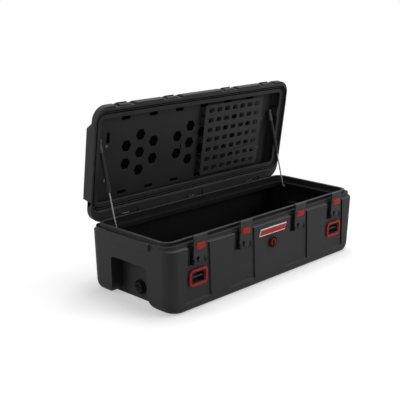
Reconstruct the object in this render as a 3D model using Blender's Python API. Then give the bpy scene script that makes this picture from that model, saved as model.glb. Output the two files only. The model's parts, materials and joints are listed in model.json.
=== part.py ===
"""Cargo case with a strut-held lid, four push-button latches and panels inside the lid.

Metres, +Z up, front towards -Y. The origin is under the middle of the base, on the floor.
The lid is drawn closed and then hung from its hinge axis at the angle where the struts hold it.
"""

import math

import bmesh
import bpy
from mathutils import Matrix, Vector

# Opening and rim
OPENING_LENGTH = 1.040
OPENING_WIDTH = 0.3584
OPENING_CORNER = 0.030
LIP_THICKNESS = 0.012
LIP_RISE = 0.0106
FLANGE_REACH_END = 0.0235
FLANGE_REACH_SIDE = 0.025
FLANGE_CORNER = 0.045
FLANGE_RISE = 0.013
SHOULDER_RISE = 0.004
SHELF_DROP = 0.0246
SHELF_REACH = 0.018
SHELF_THICKNESS = 0.006
SHELF_LIP_HEIGHT = 0.018
SHELF_LIP_THICKNESS = 0.005

# Body of the base
SHOULDER_HEIGHT = 0.236
BODY_REACH_END = 0.023
BODY_REACH_SIDE = 0.0388
BODY_CORNER = 0.046
DRAFT_INSET = 0.006
END_BOTTOM_RADIUS = 0.038
SIDE_BOTTOM_RADIUS = 0.015
WALL = 0.006
FLOOR = 0.007
END_PAD_HALF_WIDTH = 0.118
END_PAD_HEIGHT = 0.030
END_PAD_RISE = 0.009
END_PAD_CORNER = 0.010

# Hand pockets in the ends
HAND_HALF_WIDTH = 0.097
HAND_TOP = 0.156
HAND_DEPTH = 0.061
HAND_CORNER = 0.014
HAND_FLARE = 0.050

# Lid
LID_REACH_END = 0.019
LID_REACH_FRONT = 0.0338
LID_REACH_BACK = 0.0548
LID_CORNER = 0.056
LID_HEIGHT = 0.0656
LID_END_SKIRT = 0.0236
LID_END_SLOPE = 0.8
LID_SIDE_SKIRT = 0.0256
LID_SIDE_SLOPE = 0.5
LID_EDGE_RADIUS = 0.006
LID_WALL = 0.005
LID_INNER_RADIUS = 0.004
LID_PAD_HALF_WIDTH = 0.136
LID_PAD_RISE = 0.002
LID_PAD_SIDE_SLOPE = 0.7
LID_PAD_SKIRT = 0.048
LID_PAD_TOP_DROP = 0.004
LID_PAD_ROOT = 0.040
LID_PAD_BITE = 0.001
LID_CHANNEL_DEPTH = 0.008
TOP_CHANNEL_DEPTH = 0.003
LID_RIB_WIDTH = 0.048
LID_RIB_GAP = 0.0015
LID_RIB_PROUD = 0.002
LID_RIB_DROP = 0.0015
PARTING_GAP = 0.001
LIP_CLEARANCE = 0.0025
SEAL_GAP = 0.0006
SEAL_FLANGE = 0.016
SEAL_FLANGE_THICKNESS = 0.012
GROOVE_DEPTH = 0.006
GROOVE_MARGIN = 0.0005
OPEN_ANGLE = math.radians(82.3)

# Hinges
HINGE_BEHIND_OPENING = 0.0416
END_TO_HINGE = 0.160
LEAF_WIDTH = 0.110
LEAF_THICKNESS = 0.003
BASE_LEAF_DROP = 0.066
LID_LEAF_RISE = 0.026
KNUCKLE_RADIUS = 0.0055
MIDDLE_KNUCKLE_LENGTH = 0.0364
HINGE_PIN_RADIUS = 0.003
KNUCKLE_SIDE_GAP = 0.0004
HINGE_SEAT_BEFORE_AXIS = 0.0078
HINGE_POCKET_GAP = 0.002

# Latches and their channels
END_TO_LATCH = 0.1193
LATCH_PITCH = 0.2399
CHANNEL_WIDTH = 0.098
CHANNEL_DEPTH = 0.006
CHANNEL_FOOT = 0.030
CHANNEL_FLARE = 0.020
POCKET_LEFT = 0.051
POCKET_RIGHT = 0.036
POCKET_DROP = 0.0936
POCKET_MARGIN = 0.001
PIVOT_DROP = 0.0856
LEVER_WIDTH = 0.064
LEVER_THICKNESS = 0.008
LEVER_GAP = 0.001
LEVER_RISE = 0.0154
HOOK_HEIGHT = 0.0075
HOOK_REACH = 0.0045
HOOK_RELEASE = 0.0012
BARREL_RADIUS = 0.006
LATCH_PIN_RADIUS = 0.0025
EAR_WIDTH = 0.0048
EAR_SLIT = 0.0012
EAR_RISE = 0.0115
EAR_FOOT = 0.007
BRACKET_PLATE = 0.003
BRACKET_HEIGHT = 0.034
LOCK_HOLE_RADIUS = 0.006
LOCK_HOLE_SHIFT = 0.0108
LOCK_HOLE_RISE = 0.0155
LOCK_HOLE_DEPTH = 0.005
BUTTON_WIDTH = 0.045
BUTTON_HEIGHT = 0.024
BUTTON_DROP = 0.0246
BUTTON_CORNER = 0.004
BUTTON_THICKNESS = 0.005
BUTTON_PROUD = 0.002
BUTTON_POCKET = 0.0065
BUTTON_TRAVEL = 0.002
SPRING_LENGTH = 0.030
SPRING_WIDTH = 0.006
SPRING_THICKNESS = 0.0006
KEEPER_WIDTH = 0.056
KEEPER_HEIGHT = 0.0135
KEEPER_GAP = 0.0005
KEEPER_CHAMFER = 0.003

# Tie-down points below the outer latches
TIEDOWN_HEIGHT = 0.120
BEZEL_WIDTH = 0.094
BEZEL_HEIGHT = 0.066
BEZEL_CORNER = 0.016
BEZEL_THICKNESS = 0.008
CUP_WIDTH = 0.064
CUP_HEIGHT = 0.044
CUP_CORNER = 0.008
CUP_DEPTH = 0.026
CUP_WALL = 0.0025
CUP_SETBACK = 0.002
BAR_RADIUS = 0.004
BAR_DEPTH = 0.010

# Badge and purge valve
BADGE_HEIGHT = 0.206
BADGE_LENGTH = 0.160
BADGE_WIDTH = 0.028
BADGE_SLANT = 0.008
BADGE_RIM = 0.004
BADGE_THICKNESS = 0.0025
BADGE_FACE_THICKNESS = 0.0012
VALVE_HEIGHT = 0.157
VALVE_RADIUS = 0.022
VALVE_THICKNESS = 0.006
VALVE_SPIGOT_RADIUS = 0.013
VALVE_SPIGOT_LENGTH = 0.012
KNOB_RADIUS = 0.0144
KNOB_RECESS = 0.004
KNOB_THICKNESS = 0.0055
KNOB_BAR_WIDTH = 0.006
KNOB_BAR_RISE = 0.004

# Drain in the left hand pocket
DRAIN_HEIGHT = 0.047
DRAIN_RADIUS = 0.0275
DRAIN_THICKNESS = 0.006
DRAIN_SPIGOT_RADIUS = 0.014
DRAIN_SPIGOT_LENGTH = 0.012
DRAIN_BORE = 0.0108
PLUG_RADIUS = 0.020
PLUG_THICKNESS = 0.006
PLUG_STEM_RADIUS = 0.0105
PLUG_STEM_LENGTH = 0.012
PLUG_BAR_WIDTH = 0.007
PLUG_BAR_RISE = 0.005

# Hexagon panel in the lid
HEX_PANEL_DEPTH = 0.0434
HEX_PANEL_END_GAP = 0.022
HEX_PANEL_WIDTH = 0.334
HEX_PANEL_CENTRE = 0.0085
HEX_PANEL_CORNER = 0.020
HEX_PANEL_THICKNESS = 0.003
HEX_RADIUS = 0.0245
HEX_ROW = 0.0715
HEX_SIDE_X = 0.070
HEX_SIDE_Y = 0.036
FLOWER_PITCH = 0.270
EDGE_SLOT_LENGTH = 0.043
EDGE_SLOT_WIDTH = 0.014
EDGE_SLOT_INSET = 0.0185
EDGE_SLOT_PITCH = 0.140
END_SLOT_INSET = 0.065
END_SLOT_OFFSET = 0.0805
BOSS_INSET = 0.058
BOSS_FRONT_Y = 0.040
BOSS_BACK_Y = 0.096
BOSS_RADIUS = 0.007

# Slotted panel in front of the hexagon panel
SLOT_PANEL_DEPTH = 0.0204
SLOT_PANEL_END_GAP = 0.105
SLOT_PANEL_CENTRE_Y = 0.005
SLOT_PANEL_LENGTH = 0.357
SLOT_PANEL_WIDTH = 0.300
SLOT_PANEL_CORNER = 0.008
SLOT_PANEL_THICKNESS = 0.003
SLOT_COUNT = 7
SLOT_PITCH_X = 0.0472
SLOT_PITCH_Y = 0.042
SLOT_LENGTH = 0.029
SLOT_WIDTH = 0.019
SPACER_RADIUS = 0.005
SPACER_INSET = 0.0105
SPACER_OFFSET_Y = 0.100

# Gas struts
STRUT_INSET = 0.036
STRUT_BASE_BEFORE_HINGE = 0.0968
STRUT_BASE_BELOW_SHELF = 0.013
STRUT_LID_BEFORE_HINGE = 0.2908
STRUT_LID_BELOW_PANEL = 0.010
CYLINDER_RADIUS = 0.0075
CYLINDER_BORE = 0.0054
CYLINDER_CAP = 0.006
ROD_RADIUS = 0.003
PISTON_RADIUS = 0.0050
PISTON_LENGTH = 0.008
PISTON_INSERT = 0.025
GLAND_LENGTH = 0.010
CLOSED_ROD_GAP = 0.014
EYE_RADIUS = 0.008
EYE_THICKNESS = 0.008
STUD_RADIUS = 0.004
STUD_END = 0.0015
STRUT_PLATE_THICKNESS = 0.003
STRUT_PLATE_LENGTH = 0.036
STRUT_PLATE_MARGIN = 0.0005

# Fasteners and shared fits
SCREW_HEAD_RADIUS = 0.005
SCREW_HEAD_HEIGHT = 0.0025
SCREW_RADIUS = 0.002
SCREW_BITE = 0.0035
NUT_THICKNESS = 0.004
NUT_REACH = 0.009
SEAT_GAP = 0.0003
RUN_GAP = 0.0003
CUT_MARGIN = 0.010

# Facets
CORNER_STEPS = 8
EDGE_STEPS = 4
ROUND_SIDES = 24
PIN_SIDES = 12
SCREW_SIDES = 8

# Sizes worked out from those above
FLANGE_FOOT_Z = SHOULDER_HEIGHT + SHOULDER_RISE
FLANGE_Z = FLANGE_FOOT_Z + FLANGE_RISE
LIP_Z = FLANGE_Z + LIP_RISE
SHELF_Z = LIP_Z - SHELF_DROP
SHELF_UNDER_Z = SHELF_Z - SHELF_THICKNESS
BODY_LENGTH = OPENING_LENGTH + 2 * BODY_REACH_END
BODY_WIDTH = OPENING_WIDTH + 2 * BODY_REACH_SIDE
FLANGE_HALF_X = OPENING_LENGTH / 2 + FLANGE_REACH_END
FLANGE_HALF_Y = OPENING_WIDTH / 2 + FLANGE_REACH_SIDE
DRAFT_ANGLE = math.atan(DRAFT_INSET / SHOULDER_HEIGHT)
HAND_FLOOR_X = BODY_LENGTH / 2 - HAND_DEPTH
LID_LENGTH = OPENING_LENGTH + 2 * LID_REACH_END
LID_WIDTH = OPENING_WIDTH + LID_REACH_FRONT + LID_REACH_BACK
LID_FRONT_Y = -OPENING_WIDTH / 2 - LID_REACH_FRONT
LID_BACK_Y = OPENING_WIDTH / 2 + LID_REACH_BACK
LID_CENTRE_Y = (LID_FRONT_Y + LID_BACK_Y) / 2
LID_FOOT_Z = FLANGE_Z + PARTING_GAP
LID_TOP_Z = LID_FOOT_Z + LID_HEIGHT
LID_END_BEND_Z = LID_FOOT_Z + LID_END_SKIRT
LID_SIDE_BEND_Z = LID_FOOT_Z + LID_SIDE_SKIRT
SEAL_Z = LIP_Z + SEAL_GAP
SEAL_FLANGE_TOP_Z = SEAL_Z + SEAL_FLANGE_THICKNESS
HINGE_Y = OPENING_WIDTH / 2 + HINGE_BEHIND_OPENING
HINGE_Z = LIP_Z
HINGE_SEAT_Y = HINGE_Y - HINGE_SEAT_BEFORE_AXIS
HINGE_OUTER_X = OPENING_LENGTH / 2 - END_TO_HINGE
HINGE_XS = (-HINGE_OUTER_X, 0.0, HINGE_OUTER_X)
LATCH_OUTER_X = OPENING_LENGTH / 2 - END_TO_LATCH
LATCH_INNER_X = LATCH_OUTER_X - LATCH_PITCH
LATCH_XS = (-LATCH_OUTER_X, -LATCH_INNER_X, LATCH_INNER_X, LATCH_OUTER_X)
LEVER_IN_Y = LID_FRONT_Y - LEVER_GAP
LEVER_OUT_Y = LEVER_IN_Y - LEVER_THICKNESS
POCKET_FLOOR_Y = -FLANGE_HALF_Y - POCKET_MARGIN
POCKET_FOOT_Z = LIP_Z - POCKET_DROP
PIVOT_Y = LEVER_OUT_Y + BARREL_RADIUS
PIVOT_Z = LIP_Z - PIVOT_DROP
LEVER_TOP_Z = LIP_Z + LEVER_RISE
HOOK_Z = LEVER_TOP_Z - HOOK_HEIGHT
LEVER_REST_ANGLE = math.asin((HOOK_REACH - LEVER_GAP + HOOK_RELEASE) / (HOOK_Z - PIVOT_Z))
BUTTON_Z = LIP_Z - BUTTON_DROP
HEX_Z = LIP_Z + HEX_PANEL_DEPTH
HEX_BACK_Z = HEX_Z + HEX_PANEL_THICKNESS
HEX_HALF_X = OPENING_LENGTH / 2 - HEX_PANEL_END_GAP
SLOT_Z = LIP_Z + SLOT_PANEL_DEPTH
SLOT_PANEL_CENTRE_X = OPENING_LENGTH / 2 - SLOT_PANEL_END_GAP - SLOT_PANEL_LENGTH / 2
STRUT_X = OPENING_LENGTH / 2 - STRUT_INSET
STRUT_BASE = Vector((HINGE_Y - STRUT_BASE_BEFORE_HINGE, SHELF_Z - STRUT_BASE_BELOW_SHELF))
STRUT_LID_SHUT = Vector((HINGE_Y - STRUT_LID_BEFORE_HINGE, HEX_Z - STRUT_LID_BELOW_PANEL))


# Modelling helpers


def clear_scene():
    for item in list(bpy.data.objects):
        bpy.data.objects.remove(item, do_unlink=True)


def make_material(name, colour, roughness, metallic=0.0):
    made = bpy.data.materials.new(name)
    made.use_nodes = True
    shader = made.node_tree.nodes["Principled BSDF"]
    shader.inputs["Base Color"].default_value = (*colour, 1.0)
    shader.inputs["Roughness"].default_value = roughness
    shader.inputs["Metallic"].default_value = metallic
    made.diffuse_color = (*colour, 1.0)
    return made


def add_object(name, mesh_in_progress):
    """Turn a bmesh into an object whose faces point out."""
    bmesh.ops.recalc_face_normals(mesh_in_progress, faces=mesh_in_progress.faces)
    mesh = bpy.data.meshes.new(name)
    mesh_in_progress.to_mesh(mesh)
    mesh_in_progress.free()
    made = bpy.data.objects.new(name, mesh)
    bpy.context.scene.collection.objects.link(made)
    return made


def loft(name, rings, ring_shaped=False):
    """Skin equal rings one after another. The ends are capped, or joined where the solid is a ring."""
    bm = bmesh.new()
    rows = [[bm.verts.new(point) for point in ring] for ring in rings]
    pairs = list(zip(rows, rows[1:]))
    if ring_shaped:
        pairs.append((rows[-1], rows[0]))
    for low, high in pairs:
        for i in range(len(low)):
            j = (i + 1) % len(low)
            bm.faces.new((low[i], low[j], high[j], high[i]))
    if not ring_shaped:
        bm.faces.new(rows[0])
        bm.faces.new(rows[-1])
    return add_object(name, bm)


def prism(name, outline, axis, start, end):
    """Push a flat outline along X, Y or Z. The outline's two numbers are the other axes, in order."""
    place = {
        "X": lambda a, b, c: (c, a, b),
        "Y": lambda a, b, c: (a, c, b),
        "Z": lambda a, b, c: (a, b, c),
    }[axis]
    return loft(name, [[place(a, b, c) for a, b in outline] for c in (start, end)])


def block(name, low, high):
    outline = [(low[0], low[1]), (high[0], low[1]), (high[0], high[1]), (low[0], high[1])]
    return prism(name, outline, "Z", low[2], high[2])


def rounded_outline(half_a, half_b, radius, steps):
    points = []
    for quarter, (sign_a, sign_b) in enumerate(((1, 1), (-1, 1), (-1, -1), (1, -1))):
        for step in range(steps + 1):
            angle = math.radians(90 * quarter + 90 * step / steps)
            a = sign_a * (half_a - radius) + radius * math.cos(angle)
            b = sign_b * (half_b - radius) + radius * math.sin(angle)
            points.append((a, b))
    return points


def shifted(outline, a, b):
    return [(point[0] + a, point[1] + b) for point in outline]


def circle_outline(radius, sides, a=0.0, b=0.0):
    turns = [2 * math.pi * (i + 0.5) / sides for i in range(sides)]
    return [(a + radius * math.cos(turn), b + radius * math.sin(turn)) for turn in turns]


def disc(name, radius, axis, centre, start, end, sides=ROUND_SIDES):
    """A cylinder along X, Y or Z. The centre's two numbers are the other axes, in order."""
    return prism(name, circle_outline(radius, sides, *centre), axis, start, end)


def move(item, matrix):
    """Shift or turn a piece's own mesh."""
    item.data.transform(matrix)
    if matrix.determinant() < 0:
        item.data.flip_normals()
    return item


def apply_booleans(target, tools, operation):
    for tool in tools:
        cut = target.modifiers.new(operation.lower(), "BOOLEAN")
        cut.operation = operation
        cut.solver = "EXACT"
        cut.object = tool
    bpy.context.view_layer.update()
    graph = bpy.context.evaluated_depsgraph_get()
    result = bpy.data.meshes.new_from_object(target.evaluated_get(graph))
    target.modifiers.clear()
    target.data = result
    for tool in tools:
        bpy.data.objects.remove(tool, do_unlink=True)
    return target


def cut(target, *tools):
    return apply_booleans(target, tools, "DIFFERENCE")


def fuse(target, *tools):
    return apply_booleans(target, tools, "UNION")


def join_as_group(name, items):
    """Separate solids kept in one object, such as a set of equal screws."""
    bm = bmesh.new()
    for item in items:
        bm.from_mesh(item.data)
        bpy.data.objects.remove(item, do_unlink=True)
    return add_object(name, bm)


def finish(item, material, pivot=None):
    """Give a piece its material, and hang it from a pivot that its mesh was drawn around."""
    item.data.materials.clear()
    item.data.materials.append(material)
    for face in item.data.polygons:
        face.material_index = 0
    item.data.shade_smooth()
    item.data.set_sharp_from_angle(angle=math.radians(35))
    if pivot is not None:
        item.data.transform(Matrix.Translation(-pivot.location))
        item.parent = pivot
    return item


def add_pivot(name, location, turn_about_x=0.0, parent=None):
    made = bpy.data.objects.new(name, None)
    bpy.context.scene.collection.objects.link(made)
    made.location = location
    made.rotation_euler = (turn_about_x, 0.0, 0.0)
    made.parent = parent
    return made


def screw(name, shank_length):
    """A pan-head screw along +Z with the underside of its head at zero."""
    rings = []
    for radius, z in (
        (SCREW_RADIUS, shank_length),
        (SCREW_RADIUS, 0.0),
        (SCREW_HEAD_RADIUS, 0.0),
        (SCREW_HEAD_RADIUS, -0.5 * SCREW_HEAD_HEIGHT),
        (0.6 * SCREW_HEAD_RADIUS, -SCREW_HEAD_HEIGHT),
    ):
        rings.append([(a, b, z) for a, b in circle_outline(radius, SCREW_SIDES)])
    return loft(name, rings)


# Where things sit on the base


def draft(z):
    """How far the wall stands in from its widest line at a height."""
    return DRAFT_INSET * (SHOULDER_HEIGHT - z) / SHOULDER_HEIGHT


def body_ring(z, end_inset, side_inset):
    return [
        (x, y, z)
        for x, y in rounded_outline(
            BODY_LENGTH / 2 - draft(z) - end_inset,
            BODY_WIDTH / 2 - draft(z) - side_inset,
            BODY_CORNER - side_inset,
            CORNER_STEPS,
        )
    ]


def opening_ring(offset, z):
    """The opening's outline, grown outwards by an offset."""
    return [
        (x, y, z)
        for x, y in rounded_outline(
            OPENING_LENGTH / 2 + offset,
            OPENING_WIDTH / 2 + offset,
            OPENING_CORNER + offset,
            CORNER_STEPS,
        )
    ]


def flange_ring(z):
    outline = rounded_outline(FLANGE_HALF_X, FLANGE_HALF_Y, FLANGE_CORNER, CORNER_STEPS)
    return [(x, y, z) for x, y in outline]


def rounded_edge(radius):
    """Rise and inset of points round a quarter circle, from the flat to the upright side."""
    steps = [math.radians(90 * i / EDGE_STEPS) for i in range(EDGE_STEPS + 1)]
    return [(radius * (1 - math.cos(a)), radius * (1 - math.sin(a))) for a in steps]


def edge_inset(radius, rise):
    """How far a rounded edge stands in at a height above its flat."""
    drop = max(0.0, radius - rise)
    return radius - math.sqrt(radius * radius - drop * drop)


def rounded_bottom(foot, wall):
    """Rings up the bottom edges, which are rounder at the ends than along the sides."""
    end_radius = END_BOTTOM_RADIUS - wall
    side_radius = SIDE_BOTTOM_RADIUS - wall
    rises = [rise for rise, inset in rounded_edge(side_radius)]
    rises += [rise for rise, inset in rounded_edge(end_radius) if rise > side_radius]
    return [
        body_ring(
            foot + rise, wall + edge_inset(end_radius, rise), wall + edge_inset(side_radius, rise)
        )
        for rise in rises
    ]


def front_frame(x, z):
    """A frame on the sloping front wall: X along the case, -Y out of the wall, Z up the wall."""
    spot = Matrix.Translation((x, -BODY_WIDTH / 2 + draft(z), z))
    return spot @ Matrix.Rotation(DRAFT_ANGLE, 4, "X")


# Base shell


def latch_channel(x, grow=0.0):
    """The shallow channel that a latch stands in, with a sloping foot. It widens downwards."""
    depth = CHANNEL_DEPTH + grow
    top = LIP_Z + CUT_MARGIN - CHANNEL_FOOT
    outline = [
        (-CUT_MARGIN, -grow),
        (0.0, -grow),
        (depth, depth - grow),
        (depth, top),
        (-CUT_MARGIN, top),
    ]
    half = CHANNEL_WIDTH / 2 + grow
    channel = prism("channel", outline, "X", -half, half)
    for vertex in channel.data.vertices:
        spread = CHANNEL_FLARE * (1.0 - vertex.co.z / top)
        vertex.co.x += math.copysign(spread, vertex.co.x)
    return move(channel, front_frame(x, CHANNEL_FOOT))


def latch_pocket(x, grow=0.0):
    """The deep part of the channel behind a lever."""
    return block(
        "pocket",
        (x - POCKET_LEFT - grow, -BODY_WIDTH / 2 - CUT_MARGIN, POCKET_FOOT_Z - grow),
        (x + POCKET_RIGHT + grow, POCKET_FLOOR_Y + grow, LIP_Z + CUT_MARGIN),
    )


def tiedown_pocket(x, grow=0.0):
    outline = rounded_outline(
        CUP_WIDTH / 2 + grow, CUP_HEIGHT / 2 + grow, CUP_CORNER + grow, EDGE_STEPS
    )
    depth = CHANNEL_DEPTH - CUP_SETBACK + CUP_DEPTH + grow
    return move(prism("pocket", outline, "Y", -CUT_MARGIN, depth), front_frame(x, TIEDOWN_HEIGHT))


def hand_pocket(side, grow=0.0):
    """The hand hold in an end wall, open at the bottom."""
    half = HAND_HALF_WIDTH + grow
    top = HAND_TOP + grow
    upper = rounded_outline(half, top, HAND_CORNER + grow, EDGE_STEPS)
    outline = [(y, z) for y, z in upper if z > 0]
    flare = [(half + inset, rise) for inset, rise in rounded_edge(HAND_FLARE - grow)]
    flare.append((half + HAND_FLARE - grow, -CUT_MARGIN))
    outline += [(-y, z) for y, z in flare] + flare[::-1]
    inner = side * (HAND_FLOOR_X - grow)
    outer = side * (BODY_LENGTH / 2 + END_PAD_RISE + CUT_MARGIN)
    return prism("hand_pocket", outline, "X", min(inner, outer), max(inner, outer))


def end_pad(side):
    """The raised grip pad under the rim at an end."""
    outline = rounded_outline(END_PAD_HALF_WIDTH, END_PAD_HEIGHT / 2, END_PAD_CORNER, EDGE_STEPS)
    outline = shifted(outline, 0.0, FLANGE_Z - END_PAD_HEIGHT / 2)
    inner = side * (BODY_LENGTH / 2 - WALL / 2)
    outer = side * (BODY_LENGTH / 2 + END_PAD_RISE)
    return prism("end_pad", outline, "X", min(inner, outer), max(inner, outer))


def base_recesses(grow=0.0):
    """Every recess in the outside of the base. Grown by the wall, they are its bulges inside."""
    made = [latch_channel(x, grow) for x in LATCH_XS]
    made += [latch_pocket(x, grow) for x in LATCH_XS]
    made += [tiedown_pocket(x, grow) for x in (LATCH_XS[0], LATCH_XS[-1])]
    made += [hand_pocket(side, grow) for side in (-1, 1)]
    return made


def base_cavity():
    rings = rounded_bottom(FLOOR, WALL)
    rings.append(body_ring(SHELF_UNDER_Z, WALL, WALL))
    shelf_back = SHELF_LIP_THICKNESS - SHELF_REACH
    rings.append(opening_ring(shelf_back, SHELF_UNDER_Z))
    rings.append(opening_ring(shelf_back, SHELF_Z - SHELF_LIP_HEIGHT))
    rings.append(opening_ring(-SHELF_REACH, SHELF_Z - SHELF_LIP_HEIGHT))
    rings.append(opening_ring(-SHELF_REACH, SHELF_Z))
    rings.append(opening_ring(0.0, SHELF_Z))
    rings.append(opening_ring(0.0, LIP_Z + CUT_MARGIN))
    return cut(loft("cavity", rings), *base_recesses(WALL))


def make_base_shell(material):
    rings = rounded_bottom(0.0, 0.0)
    rings.append(body_ring(SHOULDER_HEIGHT, 0.0, 0.0))
    rings.append(flange_ring(FLANGE_FOOT_Z))
    rings.append(flange_ring(FLANGE_Z))
    rings.append(opening_ring(LIP_THICKNESS, FLANGE_Z))
    rings.append(opening_ring(LIP_THICKNESS, LIP_Z))
    shell = fuse(loft("base_shell", rings), end_pad(-1), end_pad(1))
    valve_hole = move(
        disc(
            "hole",
            VALVE_SPIGOT_RADIUS + SEAT_GAP,
            "Y",
            (0.0, 0.0),
            -CUT_MARGIN,
            WALL + CUT_MARGIN,
        ),
        front_frame(0.0, VALVE_HEIGHT),
    )
    drain_hole = disc(
        "hole",
        DRAIN_SPIGOT_RADIUS + SEAT_GAP,
        "X",
        (0.0, DRAIN_HEIGHT),
        -HAND_FLOOR_X - CUT_MARGIN,
        -HAND_FLOOR_X + WALL + CUT_MARGIN,
    )
    cut(shell, base_cavity(), *base_recesses(), valve_hole, drain_hole)
    return finish(shell, material)


# Fittings on the base


def make_tiedown(side_name, x, red, black):
    """Red bezel and black cup of one tie-down point, with a strap bar across the cup."""
    frame = front_frame(x, TIEDOWN_HEIGHT)
    floor = CHANNEL_DEPTH - SEAT_GAP
    bezel = prism(
        f"tiedown_bezel_{side_name}",
        rounded_outline(BEZEL_WIDTH / 2, BEZEL_HEIGHT / 2, BEZEL_CORNER, EDGE_STEPS),
        "Y",
        floor - BEZEL_THICKNESS,
        floor,
    )
    window = prism(
        "window",
        rounded_outline(CUP_WIDTH / 2, CUP_HEIGHT / 2, CUP_CORNER, EDGE_STEPS),
        "Y",
        floor - BEZEL_THICKNESS - CUT_MARGIN,
        floor + CUT_MARGIN,
    )
    finish(move(cut(bezel, window), frame), red)

    mouth = floor - BEZEL_THICKNESS + CUP_SETBACK
    back = CHANNEL_DEPTH - CUP_SETBACK + CUP_DEPTH - SEAT_GAP
    cup = prism(
        f"tiedown_cup_{side_name}",
        rounded_outline(
            CUP_WIDTH / 2 - SEAT_GAP, CUP_HEIGHT / 2 - SEAT_GAP, CUP_CORNER, EDGE_STEPS
        ),
        "Y",
        mouth,
        back,
    )
    inside_half_width = CUP_WIDTH / 2 - SEAT_GAP - CUP_WALL
    hollow = prism(
        "hollow",
        rounded_outline(
            inside_half_width,
            CUP_HEIGHT / 2 - SEAT_GAP - CUP_WALL,
            CUP_CORNER - CUP_WALL,
            EDGE_STEPS,
        ),
        "Y",
        mouth - CUT_MARGIN,
        back - CUP_WALL,
    )
    bar_half = inside_half_width + CUP_WALL / 2
    bar = disc("bar", BAR_RADIUS, "X", (mouth + BAR_DEPTH, 0.0), -bar_half, bar_half, PIN_SIDES)
    finish(move(fuse(cut(cup, hollow), bar), frame), black)


def slanted_outline(length, width, slant):
    return [
        (-length / 2, -width / 2),
        (length / 2 - slant, -width / 2),
        (length / 2, width / 2),
        (-length / 2 + slant, width / 2),
    ]


def make_badge(pale, red):
    """A blank slanted badge: a pale backing with a red face on it."""
    frame = front_frame(0.0, BADGE_HEIGHT)
    seat = -SEAT_GAP
    backing = prism(
        "badge_backing",
        slanted_outline(BADGE_LENGTH, BADGE_WIDTH, BADGE_SLANT),
        "Y",
        seat - BADGE_THICKNESS,
        seat,
    )
    finish(move(backing, frame), pale)
    seat -= BADGE_THICKNESS + SEAT_GAP
    face = prism(
        "badge_face",
        slanted_outline(
            BADGE_LENGTH - 2 * BADGE_RIM,
            BADGE_WIDTH - 2 * BADGE_RIM,
            BADGE_SLANT * (1 - 2 * BADGE_RIM / BADGE_WIDTH),
        ),
        "Y",
        seat - BADGE_FACE_THICKNESS,
        seat,
    )
    finish(move(face, frame), red)


def ring_nut(name, spigot_radius, axis, centre, start):
    """A six-sided nut round a spigot, on the inside of the wall."""
    end = start + NUT_THICKNESS
    nut = disc(name, spigot_radius + NUT_REACH, axis, centre, start, end, 6)
    hole_radius = spigot_radius + SEAT_GAP
    hole = disc("hole", hole_radius, axis, centre, start - CUT_MARGIN, end + CUT_MARGIN)
    return cut(nut, hole)


def make_valve(black, red):
    """Purge valve: a flanged body through the wall and a knob that turns in its recess."""
    frame = front_frame(0.0, VALVE_HEIGHT)
    front = -SEAT_GAP - VALVE_THICKNESS
    body = fuse(
        disc("valve_body", VALVE_RADIUS, "Y", (0.0, 0.0), front, -SEAT_GAP),
        disc("spigot", VALVE_SPIGOT_RADIUS, "Y", (0.0, 0.0), front / 2, VALVE_SPIGOT_LENGTH),
    )
    recess_floor = front + KNOB_RECESS
    recess = disc(
        "recess", KNOB_RADIUS + RUN_GAP, "Y", (0.0, 0.0), front - CUT_MARGIN, recess_floor
    )
    finish(move(cut(body, recess), frame), black)

    nut = ring_nut("valve_nut", VALVE_SPIGOT_RADIUS, "Y", (0.0, 0.0), WALL + SEAT_GAP)
    finish(move(nut, frame), black)

    pivot = add_pivot("valve_knob_pivot", frame.translation, DRAFT_ANGLE)
    knob_back = recess_floor - RUN_GAP
    knob_front = knob_back - KNOB_THICKNESS
    knob = fuse(
        disc("valve_knob", KNOB_RADIUS, "Y", (0.0, 0.0), knob_front, knob_back),
        block(
            "bar",
            (-KNOB_BAR_WIDTH / 2, knob_front - KNOB_BAR_RISE, -0.85 * KNOB_RADIUS),
            (KNOB_BAR_WIDTH / 2, knob_back - KNOB_THICKNESS / 2, 0.85 * KNOB_RADIUS),
        ),
    )
    finish(knob, red)
    knob.parent = pivot


def make_drain(black):
    """Drain in the left hand pocket: a flanged seat through the wall and a plug that turns in it."""
    wall_x = -HAND_FLOOR_X
    centre = (0.0, DRAIN_HEIGHT)
    outer = wall_x - SEAT_GAP - DRAIN_THICKNESS
    seat = fuse(
        disc("drain_seat", DRAIN_RADIUS, "X", centre, outer, wall_x - SEAT_GAP),
        disc(
            "spigot",
            DRAIN_SPIGOT_RADIUS,
            "X",
            centre,
            wall_x - DRAIN_THICKNESS / 2,
            wall_x + DRAIN_SPIGOT_LENGTH,
        ),
    )
    bore = disc(
        "bore",
        DRAIN_BORE,
        "X",
        centre,
        outer - CUT_MARGIN,
        wall_x + DRAIN_SPIGOT_LENGTH + CUT_MARGIN,
    )
    finish(cut(seat, bore), black)

    nut = ring_nut("drain_nut", DRAIN_SPIGOT_RADIUS, "X", centre, wall_x + WALL + SEAT_GAP)
    finish(nut, black)

    pivot = add_pivot("drain_plug_pivot", Vector((outer, 0.0, DRAIN_HEIGHT)))
    under = outer - RUN_GAP
    cap_front = under - PLUG_THICKNESS
    plug = fuse(
        disc("drain_plug", PLUG_RADIUS, "X", centre, cap_front, under),
        disc("stem", PLUG_STEM_RADIUS, "X", centre, under - RUN_GAP, outer + PLUG_STEM_LENGTH),
        block(
            "bar",
            (cap_front - PLUG_BAR_RISE, -0.8 * PLUG_RADIUS, DRAIN_HEIGHT - PLUG_BAR_WIDTH / 2),
            (under - PLUG_THICKNESS / 2, 0.8 * PLUG_RADIUS, DRAIN_HEIGHT + PLUG_BAR_WIDTH / 2),
        ),
    )
    finish(plug, black, pivot)


# Lid, drawn closed


def end_lean(z):
    """How far the lid's ends stand in at a height. They slope in above an upright skirt."""
    return LID_END_SLOPE * max(0.0, z - LID_END_BEND_Z)


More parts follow.
